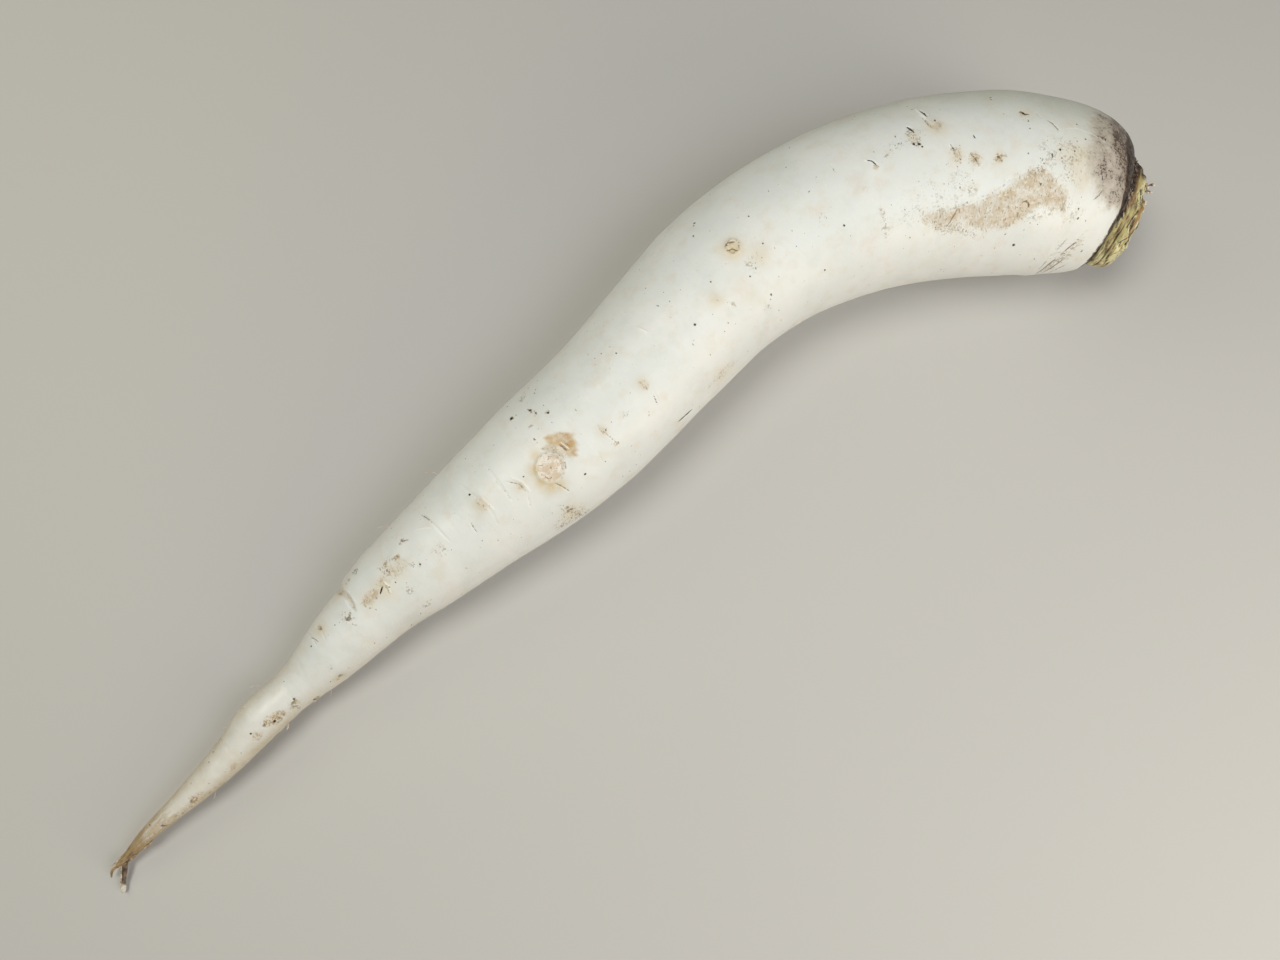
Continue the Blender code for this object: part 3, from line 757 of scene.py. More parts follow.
def unrolled_skin(axis):
    """The skin as a cylinder: x and y hold the turn, and z the way along it."""
    last = axis.ways[-1]
    tail = float(axis.way_at(TAIL_FROM))
    body = np.linspace(0.0, tail, round(tail / RING_STEP) + 1)
    thin = np.linspace(tail, last, round((last - tail) / TAIL_RING_STEP) + 1)[1:]
    ways = [*SOCKET_WAYS, *body, *thin]
    bm = bmesh.new()
    rings = []
    for way in ways:
        turns = [2 * math.pi * k / AROUND for k in range(AROUND)]
        rings.append([bm.verts.new((math.cos(t), math.sin(t), way)) for t in turns])
    for near, far in zip(rings[:-1], rings[1:]):
        for k in range(AROUND):
            n = (k + 1) % AROUND
            bm.faces.new((near[k], near[n], far[n], far[k]))
    seat = bm.verts.new((0, 0, -SEAT_RADIUS))
    tip = bm.verts.new((0, 0, last + TAIL_RING_STEP))
    for k in range(AROUND):
        n = (k + 1) % AROUND
        bm.faces.new((seat, rings[0][n], rings[0][k]))
        bm.faces.new((rings[-1][k], rings[-1][n], tip))
    return bm


def skin_of(axis, coordinates):
    """The skin's points that belong to points of the unrolled cylinder."""
    turn = np.arctan2(coordinates[:, 1], coordinates[:, 0])
    return Skin(axis, coordinates[:, 2], turn)


def divide_at_marks(bm, axis, strokes):
    """Divides the faces that a fine mark crosses, so that its relief is real."""
    bm.faces.ensure_lookup_table()
    centres = np.array([face.calc_center_median() for face in bm.faces])
    skin = skin_of(axis, centres)
    wanted = np.zeros(len(centres), bool)
    for half_width, _, _, points in strokes:
        wanted |= skin.from_stroke(points)[0] < half_width + MARK_MARGIN
    for distance, turn, radius in DOTS:
        wanted |= np.hypot(*skin.offsets(distance, turn)) < radius + MARK_MARGIN
    for distance, turn, radius, width, _, _ in CALLUSES:
        wanted |= np.hypot(*skin.offsets(distance, turn)) < radius + 2 * width + MARK_MARGIN
    edges = {edge for k in np.flatnonzero(wanted) for edge in bm.faces[k].edges}
    bmesh.ops.subdivide_edges(bm, edges=list(edges), cuts=MARK_CUTS, use_grid_fill=True)


def stamp_stroke(skin, stroke, fade):
    """A stroke's mask and relief. Fade is the share of its width over which its edge fades."""
    half_width, relief, strength, points = stroke
    away, share = skin.from_stroke(points)
    taper = half_width * (1 - 0.75 * np.abs(2 * share - 1) ** 3)
    edge = np.maximum(taper * fade, LEAST_FADE)
    mask = strength * (1 - smooth(away, taper - edge, taper + edge))
    return mask, relief * bell(away, taper * 1.1)


def stamp_marks(skin, masks, rise, slits, lips):
    """Adds every mark to the masks and the relief of the skin."""
    soil = [(half_width, 0.0, strength, points) for half_width, strength, points in SOIL_STROKES]
    groups = (
        ("dark", (*DARK_STROKES, *slits), 0.35, 1.0),
        ("line", CRACKS, 0.5, 1.0),
        # The pale mask is a painted highlight on raised lips.
        ("pale", PAINTED_HIGHLIGHT_LIPS, 0.5, 1.0),
        ("line", (*DEEP_WRINKLES, *SHALLOW_WRINKLES), 0.6, 0.5),
        ("tan", (*TAN_STROKES, *lips), 0.7, 1.0),
        ("soil", soil, 0.8, 1.0),
    )
    for name, strokes, fade, depth_of_colour in groups:
        for stroke in strokes:
            mask, relief = stamp_stroke(skin, stroke, fade)
            raise_mask(masks, name, mask * depth_of_colour)
            rise += relief
    for distance, turn, radius in DOTS:
        away = np.hypot(*skin.offsets(distance, turn))
        raise_mask(masks, "dark", 1 - away / (2 * radius))
        rise += 0.12 * bell(away, radius)
    for distance, turn, length, width, height in SWELLINGS:
        along, around = skin.offsets(distance, turn)
        rise += height * np.exp(-((along / length) ** 2) - (around / width) ** 2)
    for distance, turn, radius, strength in TAN_CLOUDS:
        away = np.hypot(*skin.offsets(distance, turn))
        raise_mask(masks, "halo", strength * bell(away, radius * 0.8))


def stamp_calluses(skin, masks, rise):
    """Round scars: a broken ring of brown lips about a wrinkled, corky disc."""
    wobble = bumps(skin.points, 3.0)
    crinkle = bumps(skin.points, 1.1)
    for distance, turn, radius, width, height, corky in CALLUSES:
        away = np.hypot(*skin.offsets(distance, turn)) + wobble * 0.35
        ring = bell(away - radius, width)
        disc = 1 - smooth(away, radius * 0.85, radius * 1.05)
        rise += height * ring + disc * corky * 0.35 * crinkle
        rise -= 0.35 * bell(away - radius * 0.72, width * 0.7) * smooth(wobble, -0.4, 0.3)
        raise_mask(masks, "cork", disc * corky)
        lip = bell(away - radius * 1.05, width * 0.45) * smooth(crinkle + wobble, -0.5, 0.5)
        raise_mask(masks, "line", lip * 0.6)
        creases = disc * corky * smooth(-crinkle, 0.35, 0.9)
        raise_mask(masks, "line", 0.45 * creases)
        rise -= 0.2 * creases
        pit = np.maximum(1 - away / 0.7, 0.0)
        raise_mask(masks, "line", 0.75 * pit * corky)
        rise -= pit * 0.35


def stamp_patches(skin, masks):
    """The stained areas with ragged edges, and soil caught along the edge of the tan ones."""
    uneven = bumps(skin.points, 4.0) * 1.6 + bumps(skin.points, 1.4) * 0.8
    for name, strength, soft, outline in PATCHES:
        depth = skin.inside(outline) + uneven * min(soft, 3.0) / 3
        raise_mask(masks, name, strength * smooth(depth, -soft * 0.4, soft))
        if name == "tan":
            edge = bell(depth - 0.8, 1.5) * smooth(bumps(skin.points, 5.0), -0.3, 0.4)
            raise_mask(masks, "soil", 0.5 * edge)
    masks["green"] = smooth(skin.inside(GREEN_SIDE) + uneven, -GREEN_SOFT * 0.4, GREEN_SOFT)


def stamp_rim_and_tip(skin, masks, rise):
    """Soil in the groove round the crown, the tail's yellow, painted warm shade on its sides, and the dry
    brown husk at the tip.
    """
    wobble = bumps(skin.points, 6.0)
    turn = np.degrees(skin.turn)
    reach = np.interp(turn, RIM_TURNS, RIM_REACH)
    shaken = skin.distance + wobble * 0.5 + bumps(skin.points, 1.5) * 0.5
    masks["rim"] = 1 - smooth(shaken, reach * 0.6, reach * 1.2)
    rise += masks["rim"] * bumps(skin.points, 0.9) * 0.25
    masks["husk"] = smooth(skin.distance + 6 * wobble, HUSK_FROM, HUSK_FULL)
    under = 0.45 + 0.55 * smooth(np.abs(turn + 10), 10.0, 80.0)
    yellow = smooth(skin.distance, TAIL_FROM, TAIL_FULL) ** 0.7 * under
    # The tail's two sides get a darker, warmer tint: painted shade and warm bounce light.
    painted_flanks = smooth(skin.distance, PAINTED_FLANKS_FROM, PAINTED_FLANKS_FULL) * smooth(np.abs(turn + 5), 20.0, 75.0)
    masks["tail"] = np.minimum(yellow + PAINTED_FLANKS_SHARE * painted_flanks, 1.0)
    ridges = np.sin(7 * skin.turn + 2.5 * wobble) + 0.6 * np.sin(13 * skin.turn - 3 * wobble)
    rise += masks["husk"] * ridges * 0.10 * np.minimum(skin.radius, 1.6)
    rise -= 0.5 * bell(skin.way, 1.2) * (skin.way >= 0)


def unevenness(skin):
    """The slight lumps of the skin, and the faint rings that grow towards the tip."""
    broad = 0.30 * bumps(skin.points, 24.0) + 0.12 * bumps(skin.points, 9.0)
    ringed = np.stack([skin.way / 3.2, np.sin(skin.turn) * 1.2, np.cos(skin.turn) * 1.2], axis=1)
    rings = bumps(ringed, 1.0) * smooth(skin.distance, 150.0, 330.0) * 0.16
    fine = bumps(skin.points, 2.2) * 0.03
    thin = np.minimum(skin.radius / 8.0, 1.0)
    return (broad + rings + fine) * thin


def bake_map(bm, axis):
    """The map for baked colours: the skin cut along its top, as two bands one above the other."""
    layer = bm.loops.layers.uv.new("OFBake")
    half = axis.ways[-1] * BAND_SHARE
    for face in bm.faces:
        turns = [math.atan2(-loop.vert.co.y, -loop.vert.co.x) for loop in face.loops]
        ways = [loop.vert.co.z for loop in face.loops]
        if max(turns) - min(turns) > math.pi:
            turns = [t + 2 * math.pi if t < 0 else t for t in turns]
        lower = sum(ways) / len(ways) > half
        for loop, turn, way in zip(face.loops, turns, ways):
            u = min(max((turn + math.pi) / (2 * math.pi), 0.0), 1.0)
            if lower:
                v = (way - half) / (axis.ways[-1] + TAIL_RING_STEP - half)
            else:
                v = (way + SEAT_RADIUS) / (half + SEAT_RADIUS)
            v = BAND_STEP * lower + BAND_FOOT_GAP + BAND_HEIGHT * min(max(v, 0.0), 1.0)
            loop[layer].uv = (BAND_SIDE_GAP + (1 - 2 * BAND_SIDE_GAP) * u, v)


def write_masks(mesh, masks):
    """Keeps each mask on the mesh, for the materials to read."""
    for name, values in masks.items():
        attribute = mesh.attributes.new(name, "FLOAT", "POINT")
        attribute.data.foreach_set("value", np.clip(values, 0.0, 1.0).astype(np.float32))


def new_piece(name, mesh, material):
    """An object in the scene with this mesh and material."""
    mesh.materials.clear()
    mesh.materials.append(material)
    mesh.shade_smooth()
    piece = bpy.data.objects.new(name, mesh)
    bpy.context.scene.collection.objects.link(piece)
    return piece


def build_skin(axis, material):
    """The root's skin with its relief, its masks and the coordinates of its patterns."""
    chance = random.Random(SEED)
    slits, lips = hidden_scars(chance)
    bm = unrolled_skin(axis)
    divide_at_marks(bm, axis, (*DARK_STROKES, *CRACKS, *PAINTED_HIGHLIGHT_LIPS, *DEEP_WRINKLES, *slits))
    coordinates = np.array([vertex.co for vertex in bm.verts])
    skin = skin_of(axis, coordinates)
    bake_map(bm, axis)
    masks = {name: np.zeros(len(coordinates)) for name in MASKS}
    rise = unevenness(skin)
    stamp_marks(skin, masks, rise, slits, lips)
    stamp_calluses(skin, masks, rise)
    stamp_patches(skin, masks)
    stamp_rim_and_tip(skin, masks, rise)
    rise = np.where(skin.way < 0, 0.0, rise)
    places = skin.points + skin.normal * rise[:, None]
    places[:, 2] = np.maximum(places[:, 2], 0.0)
    for vertex, place in zip(bm.verts, places * MM):
        vertex.co = place
    bmesh.ops.recalc_face_normals(bm, faces=bm.faces)
    mesh = bpy.data.meshes.new("root_skin")
    bm.to_mesh(mesh)
    bm.free()
    write_masks(mesh, masks)
    round_it = skin.radius[:, None] * np.stack([np.sin(skin.turn), np.cos(skin.turn)], axis=1)
    straight = mesh.attributes.new("straight", "FLOAT_VECTOR", "POINT")
    places = np.column_stack([skin.way, round_it]) * MM
    straight.data.foreach_set("vector", places.ravel().astype(np.float32))
    return new_piece("root_skin", mesh, material)


def crown_frame(axis):
    """X round the crown on the level, Y up, Z out of the crown along its axis; zero on the seat."""
    seat, along, across = (rows[0] for rows in axis.frame(np.array([0.0])))
    frame = Matrix((Vector(across), Vector((0, 0, 1)), -Vector(along))).transposed().to_4x4()
    frame.translation = Vector(seat)
    return frame


class Shell:
    """A closed lump of rings and turns, gathered in one list of points and faces."""

    def __init__(self):
        self.points, self.faces, self.tones = [], [], []

    def add(self, rings, around, place, tone):
        """Rings run from the pole at ring 0 to the pole at the last ring."""
        first = len(self.points)
        self.points.append(place(0, 0.0))
        for ring in range(1, rings):
            for k in range(around):
                self.points.append(place(ring, 2 * math.pi * k / around))
        self.points.append(place(rings, 0.0))
        last = len(self.points) - 1
        self.tones += [tone] * (last - first + 1)
        for k in range(around):
            n = (k + 1) % around
            self.faces.append((first, first + 1 + n, first + 1 + k))
            for ring in range(rings - 2):
                low = first + 1 + ring * around
                self.faces.append((low + k, low + n, low + around + n, low + around + k))
            top = last - around
            self.faces.append((top + k, top + n, last))

    def mesh(self, name):
        """A new mesh of everything that was added, with its faces turned outward."""
        mesh = bpy.data.meshes.new(name)
        mesh.from_pydata([tuple(p) for p in self.points], [], self.faces)
        bm = bmesh.new()
        bm.from_mesh(mesh)
        bmesh.ops.recalc_face_normals(bm, faces=bm.faces)
        bm.to_mesh(mesh)
        bm.free()
        return mesh


def rounded(value, power):
    """A power that keeps the value's sign, which squares off a circle's sine or cosine."""
    return math.copysign(abs(value) ** power, value)


def add_leaf_base(shell, middle, half, radius, height, thick, lean, cut, tone, chance):
    """A wall that bends round the crown's axis, with rounded ends and a ragged, slanted cut."""
    steps = 30
    phase, tilt = chance.uniform(0, 6), chance.uniform(-0.05, 0.05)
    height -= TOP_DROP * math.exp(-((math.remainder(middle - TOP_ANGLE, 2 * math.pi) / TOP_SPREAD) ** 2))

    def place(ring, turn):
        side = -math.cos(math.pi * ring / steps)
        end = max(1 - side**4, 0.0) ** 0.25
        across = rounded(math.cos(turn), LEAF_SQUARE) * thick / 2 * end
        rise = 0.5 + 0.5 * rounded(math.sin(turn), LEAF_SQUARE) * end
        angle = middle + half * side
        ragged = 0.28 * math.sin(13 * angle + phase) + 0.20 * math.sin(31 * angle + 2 * phase)
        ragged += 0.35 * noise.noise((angle * 9, phase, 0.0))
        tall = height * (0.84 + 0.16 * end) + tilt * side * radius + ragged - cut * across
        level = LEAF_FOOT + (tall - LEAF_FOOT) * rise
        out = radius - thick / 2 + across + lean * level
        out += 0.25 * math.sin(5 * angle + phase)
        return out * math.cos(angle), out * math.sin(angle), level

    shell.add(steps, 20, place, tone)


def add_core(shell):
    """The heart of the crown, a low dome that fills its socket."""
    foot = SOCKET_GAP - SOCKET_DEPTH
    rows = ((foot, 0.0), (foot, CORE[0][1] - 0.8), *CORE, (CORE[-1][0] + 0.3, 0.0))

    def place(ring, turn):
        level, radius = rows[ring]
        return radius * math.cos(turn), radius * math.sin(turn), level

    shell.add(len(rows) - 1, 48, place, 0.5)


def crown_shell():
    """The core, the tiers of leaf bases and the thick stalk bases, all overlapping."""
    chance = random.Random(SEED + 1)
    shell = Shell()
    add_core(shell)
    for count, radius, height, thick, half, lean in TIERS:
        first = chance.uniform(0, 2 * math.pi)
        for k in range(count):
            middle = first + 2 * math.pi * (k + chance.uniform(-0.12, 0.12)) / count
            step = (0.5 if k % 2 else -0.5) + chance.uniform(-0.2, 0.2)
            tall = height + chance.uniform(-0.6, 0.6) + 0.4 * step
            wide = math.radians(half) * chance.uniform(0.85, 1.1)
            tone = chance.uniform(0.0, 1.0)
            add_leaf_base(shell, middle, wide, radius + step, tall, thick, lean, 0.15, tone, chance)
    for angle, half, radius, height, thick, cut, tone in CHUNKS:
        middle, wide = math.radians(angle), math.radians(half)
        add_leaf_base(shell, middle, wide, radius, height, thick, 0.0, cut, tone, chance)
    return shell


def remeshed(mesh, voxel):
    """The same lump as one even skin, with everything inside it gone."""
    helper = bpy.data.objects.new("helper", mesh)
    bpy.context.scene.collection.objects.link(helper)
    modifier = helper.modifiers.new("remesh", "REMESH")
    modifier.mode = "VOXEL"
    modifier.voxel_size = voxel
    modifier.adaptivity = 0.0
    graph = bpy.context.evaluated_depsgraph_get()
    made = bpy.data.meshes.new_from_object(helper.evaluated_get(graph))
    bpy.data.objects.remove(helper, do_unlink=True)
    return made


def openness(points, normals, tree):
    """How much of the space over each point is open, from 0 in a crease to 1."""
    chance = random.Random(SEED)
    rays = []
    for _ in range(OPEN_RAYS):
        ray = Vector((chance.gauss(0, 1), chance.gauss(0, 1), chance.gauss(0, 1))).normalized()
        rays.append(ray)
    open_share = np.ones(len(points))
    for k, (point, normal) in enumerate(zip(points, normals)):
        up = Vector(normal)
        start = Vector(point) + up * 0.12
        free = 0
        for ray in rays:
            way = ray if ray.dot(up) > 0 else -ray
            free += tree.ray_cast(start, way, OPEN_REACH)[0] is None
        open_share[k] = free / len(rays)
    return open_share


def from_wall_line(angle, level, line):
    """How far each point of the crown's side lies from a line of angles and levels, in mm."""
    nearest = np.full(len(level), 1e9)
    for (start, low), (end, high) in zip(line[:-1], line[1:]):
        aside = turned_from(angle, start) * WALL_RADIUS
        swing = math.radians(end - start) * WALL_RADIUS
        nearest = np.minimum(nearest, along_stretch(level - low, aside, high - low, swing)[1])
    return nearest


def crown_relief(points, normals):
    """The rise of the crown's fibres, strips, slots and crevices in mm, and the masks of each."""
    level = points[:, 2]
    out = np.hypot(points[:, 0], points[:, 1])
    angle = np.arctan2(points[:, 1], points[:, 0])
    banded = np.stack([angle * 2.4, level / 0.75, out / 2.5], axis=1)
    fibres = bumps(banded, 1.0) + 0.5 * bumps(banded * [2.3, 2.2, 1.0] + 7.0, 1.0)
    side = 1 - smooth(normals[:, 2], 0.45, 0.8)
    strips = bumps(np.stack([angle * 1.1, level / 1.9, out / 3.0], axis=1) + 3.0, 1.0)
    slots = bumps(np.stack([angle * 3.2, level / 0.5, out / 1.6], axis=1) + 11.0, 1.0)
    rise = side * fibres * 0.26 + (1 - side) * bumps(points, 0.8) * 0.16 + bumps(points, 3.0) * 0.15
    rise += side * strips * 0.25 - smooth(slots, 0.32, 0.6) * 0.35
    crevice = np.zeros(len(points))
    for width, depth, line in CREVICES:
        away = from_wall_line(angle, level, line) + 0.25 * bumps(points, 0.7) * width
        crevice = np.maximum(crevice, 1 - smooth(away, width * 0.5, width * 1.2))
        rise -= depth * bell(away, width)
    masks = {
        "cut": 1 - side,
        "groove": side * smooth(-fibres, 0.05, 0.55),
        "vein": side * smooth(fibres, 0.25, 0.8),
        "strip": 0.5 + 0.9 * strips,
        "slot": np.maximum(smooth(slots, 0.20, 0.45), crevice),
    }
    return rise * smooth(level, 0.0, 1.2), masks


def nearest_tones(shell, points):
    """The tone of the leaf base that each point lies on."""
    tree = kdtree.KDTree(len(shell.points))
    for k, point in enumerate(shell.points):
        tree.insert(point, k)
    tree.balance()
    return np.array([shell.tones[tree.find(p)[1]] for p in points.tolist()])


def stand_on_crown(mesh, axis):
    """Moves a mesh from the crown's own frame in mm to its place in metres."""
    frame = crown_frame(axis)
    frame.translation *= MM
    mesh.transform(frame @ Matrix.Scale(MM, 4))


def build_crown(axis, material):
    """The cut leaf stalks as one even skin, with their relief and masks."""
    shell = crown_shell()
    rough = shell.mesh("crown_rough")
    mesh = remeshed(rough, CROWN_VOXEL)
    bpy.data.meshes.remove(rough)
    points = np.empty(len(mesh.vertices) * 3)
    mesh.vertices.foreach_get("co", points)
    points = points.reshape(-1, 3)
    normals = np.array([vertex.normal for vertex in mesh.vertices])
    rise, masks = crown_relief(points, normals)
    masks["tone"] = nearest_tones(shell, points)
    points = points + normals * rise[:, None]
    mesh.vertices.foreach_set("co", points.ravel())
    mesh.update()
    faces = [tuple(face.vertices) for face in mesh.polygons]
    tree = BVHTree.FromPolygons([tuple(p) for p in points], faces)
    # Where little of the space over the crown is open, the crease mask gives it painted shade.
    masks["crease"] = 1 - smooth(openness(points, normals, tree), 0.35, 0.95)
    x, y, level = points.T
    patchy = bumps(points, 4.0)
    masks["violet"] = smooth(x + 0.35 * y + patchy * 2.4, 10.5, 14.5)
    masks["low"] = 1 - smooth(level + patchy * 1.2 - 0.11 * np.maximum(x, -6.0), 0.5, 2.2)
    write_masks(mesh, masks)
    stand_on_crown(mesh, axis)
    return new_piece("crown_stalks", mesh, material)


def build_curls(axis, material):
    """Dry curls of torn leaf base that stand on the cut."""
    chance = random.Random(SEED + 3)
    shell = Shell()
    for x, y, start, length in CURLS:
        heading, phase = chance.uniform(0, 2 * math.pi), chance.uniform(0, 6)
        path = []
        for k in range(15):
            u = k / 14
            bend = heading + 3.2 * u
            reach = 0.45 * length * u
            wide = 1.4 * (1 - 0.6 * u) + 0.35 * math.sin(9 * u + phase)
            level = start + length * u * (1.4 - 0.4 * u)
            path.append((x + reach * math.cos(bend), y + reach * math.sin(bend), level, wide, 0.4))
        strand(shell, path, 10)
        tip = path[-1]
        bead = ((-0.4, 0.3), (0.2, 0.9), (0.9, 0.8), (1.4, 0.2))
        knob = [(tip[0], tip[1], tip[2] + 0.5 * w, t, t) for w, t in bead]
        strand(shell, knob, 8, 1.0)
    mesh = shell.mesh("curls")
    write_masks(mesh, {"bright": np.array(shell.tones)})
    stand_on_crown(mesh, axis)
    return new_piece("crown_curls", mesh, material)


def build_groove_fibres(axis, material):
    """Dark fibres of old leaf bases between the shoulder and the crown's upper side."""
    chance = random.Random(SEED + 4)
    shell = Shell()
    for k in range(GROOVE_FIBRES):
        angle = GROOVE_FROM + (GROOVE_TO - GROOVE_FROM) * (k + chance.random()) / GROOVE_FIBRES
        drift = chance.choice((-1, 1)) * chance.uniform(0.12, 0.42)
        low, high = chance.uniform(-1.9, 0.8), chance.uniform(-0.4, 2.4)
        wide, phase = chance.uniform(0.30, 0.75), chance.uniform(0, 6)
        path = []
        for step in range(11):
            u = step / 10
            turn = angle + drift * (u - 0.5) + 0.01 * math.sin(7 * u + phase)
            level = low + (high - low) * u + 0.2 * math.sin(5 * u + phase)
            out = 19.9 - 0.35 * level + 0.25 * math.sin(6 * u + 2 * phase) + 0.5 * u**4
            thick = 1 - 0.75 * abs(2 * u - 1) ** 3
            path.append((out * math.cos(turn), out * math.sin(turn), level, wide * thick, 0.45 * thick))
        strand(shell, path, 6, chance.random())
    mesh = shell.mesh("groove_fibres")
    write_masks(mesh, {"tone": np.array(shell.tones)})
    stand_on_crown(mesh, axis)
    return new_piece("groove_fibres", mesh, material)


def strand(shell, path, sides, tone=0.0):
    """A closed, tapering strand through points that carry their width and thickness."""
    points = [Vector(row[:3]) for row in path]
    last = len(points) - 1

    def place(ring, angle):
        k = min(max(ring - 1, 0), last)
        along = (points[min(k + 1, last)] - points[max(k - 1, 0)]).normalized()
        wide = along.cross(Vector((0, 0, 1)))
        wide = wide.normalized() if wide.length > 1e-6 else Vector((1, 0, 0))
        thick = wide.cross(along)
        if ring in (0, last + 2):
            return points[k]
        width, thickness = path[k][3], path[k][4]
        return points[k] + wide * math.cos(angle) * width / 2 + thick * math.sin(angle) * thickness / 2

    shell.add(last + 2, sides, place, tone)


def build_rootlets(axis, material):
    """Short dry rootlets that curl away from the skin."""
    chance = random.Random(SEED + 2)
    shell = Shell()
    for distance, turn, length, thickness in ROOTLETS:
        place = Skin(axis, np.array([axis.way_at(distance)]), np.array([math.radians(turn)]))
        foot, out = Vector(place.points[0]), Vector(place.normal[0])
        to_tip = Vector(axis.frame(np.array([distance]))[1][0])
        round_it = out.cross(to_tip)
        lean, sway = chance.uniform(0.5, 0.9), chance.uniform(-0.3, 0.3)
        path = []
        for k in range(13):
            u = k / 12
            reach = length * u
            curl = 0.06 * length * math.sin(6 * u + turn)
            point = foot + out * (reach * (1 - 0.4 * u) - 0.6 * (1 - u))
            point = point + to_tip * (lean * reach * u) + round_it * (sway * reach + curl * u)
            thick = thickness * (1 - 0.6 * u)
            path.append((*point, thick, thick))
        strand(shell, path, 8)
    mesh = shell.mesh("rootlets")
    mesh.transform(Matrix.Scale(MM, 4))
    return new_piece("rootlets", mesh, material)


def smoothed_path(rows, steps):
    """A strand's rows at more places, with their corners rounded."""
    rows = np.array(rows)
    rows[:, :3] -= BOX_MIDDLE
    knots = np.arange(len(rows))
    fine = np.linspace(0, len(rows) - 1, steps)
    path = np.stack([np.interp(fine, knots, rows[:, k]) for k in range(5)], axis=1)
    for _ in range(3):
        path[1:-1] = (path[:-2] + 2 * path[1:-1] + path[2:]) / 4
    return path


def build_tip_rootlet(material):
    """The thin flat rootlet beside the tip, whose torn end is white."""
    shell = Shell()
    path = smoothed_path(TIP_ROOTLET, 40)
    strand(shell, path.tolist(), 16)
    mesh = shell.mesh("tip_rootlet")
    ends = path[0, :3], path[-1, :3]
    points = np.array([vertex.co for vertex in mesh.vertices])
    share = (points - ends[0]) @ (ends[1] - ends[0]) / np.sum((ends[1] - ends[0]) ** 2)
    write_masks(mesh, {"white_end": smooth(share, WHITE_END_FROM, WHITE_END_FROM + 0.1)})
    mesh.transform(Matrix.Scale(MM, 4))
    return new_piece("tip_rootlet", mesh, material)


def build_tip_fibres(material):
    """Torn skin and dry fibres that hang about the tip."""
    shell = Shell()
    for rows in TIP_FIBRES:
        strand(shell, smoothed_path(rows, 36).tolist(), 10)
    mesh = shell.mesh("tip_fibres")
    mesh.transform(Matrix.Scale(MM, 4))
    return new_piece("tip_fibres", mesh, material)


# The Mix node's sockets for colours: its first, its second and its result.
MIX_FIRST, MIX_SECOND, MIX_RESULT = 6, 7, 2


class Nodes:
    """A short way to write a material's nodes."""

    def __init__(self, name, roughness, place=None):
        """Patterns follow the object's coordinates, or else the mesh attribute that is named."""
        self.material = bpy.data.materials.new(name)
        self.material.use_nodes = True
        self.tree = self.material.node_tree
        self.shader = self.tree.nodes["Principled BSDF"]
        self.set("Roughness", roughness)
        if place:
            self.coordinates = self.attribute(place, "Vector")
        else:
            self.coordinates = self.node("TexCoord").outputs["Object"]

    def link(self, source, target):
        """Sets a socket to a number or colour, or else joins it to another socket."""
        if isinstance(source, (int, float)):
            target.default_value = source
        elif isinstance(source, tuple):
            target.default_value = (*source, 1.0) if target.type == "RGBA" else source
        else:
            self.tree.links.new(source, target)

    def set(self, name, value):
        self.link(value, self.shader.inputs[name])

    def node(self, kind, **sockets):
        """A new node with some sockets set or joined, whose names have _ for a space."""
        node = self.tree.nodes.new("ShaderNode" + kind)
        for name, value in sockets.items():
            self.link(value, node.inputs[name.replace("_", " ")])
        return node

    def attribute(self, name, output):
        node = self.node("Attribute")
        node.attribute_name = name
        return node.outputs[output]

    def mask(self, name):
        """A mask that is kept on the mesh."""
        return self.attribute(name, "Fac")

    def noise(self, scale, detail=3.0, rough=0.55, vector=None):
        place = vector or self.coordinates
        return self.node("TexNoise", Scale=scale, Detail=detail, Roughness=rough, Vector=place).outputs["Fac"]

    def cells(self, scale, vector):
        """Scattered cells: the distance from the middle of each, and two draws of its own."""
        node = self.node("TexVoronoi", Scale=scale, Vector=vector)
        split = self.node("SeparateColor", Color=node.outputs["Color"])
        return node.outputs["Distance"], split.outputs["Red"], split.outputs["Green"]

    def math(self, operation, *values, clamp=False):
        node = self.node("Math")
        node.operation = operation
        node.use_clamp = clamp
        for value, socket in zip(values, node.inputs):
            self.link(value, socket)
        return node.outputs["Value"]

    def times(self, a, b):
        return self.math("MULTIPLY", a, b)

    def plus(self, a, b):
        return self.math("ADD", a, b)

    def remap(self, value, low, high, to_low=0.0, to_high=1.0):
        """A smooth step between two values."""
        node = self.node("MapRange", Value=value, From_Min=low, From_Max=high, To_Min=to_low, To_Max=to_high)
        node.interpolation_type = "SMOOTHSTEP"
        return node.outputs["Result"]

    def mix(self, share, first, second):
        """The first colour where the share is 0, and the second where it is 1."""
        node = self.node("Mix", Factor=share)
        node.data_type = "RGBA"
        self.link(first, node.inputs[MIX_FIRST])
        self.link(second, node.inputs[MIX_SECOND])
        return node.outputs[MIX_RESULT]

    def stretched(self, scale, wobble, wobble_scale):
        """Coordinates scaled by their own amount on each axis, and shaken by noise."""
        scaled = self.node("Mapping", Scale=scale, Vector=self.coordinates).outputs["Vector"]
        shake = self.node("TexNoise", Scale=wobble_scale, Vector=self.coordinates).outputs["Color"]
        add = self.node("VectorMath")
        add.operation = "MULTIPLY_ADD"
        for value, socket in zip((shake, (wobble,) * 3, scaled), add.inputs):
            self.link(value, socket)
        return add.outputs["Vector"]

    def bump(self, height, distance, strength, **after):
        """A normal with small relief in it, on top of the Normal that is given, if one is."""
        node = self.node("Bump", Distance=distance, Strength=strength, Height=height, **after)
        return node.outputs["Normal"]


def ragged(n, mask, grain, wildness, low, high):
    """A mask whose edge is broken up by grain."""
    shaken = n.plus(mask, n.times(n.math("SUBTRACT", grain, 0.5), wildness))
    return n.times(n.remap(shaken, low, high), n.remap(mask, 0.02, 0.12))


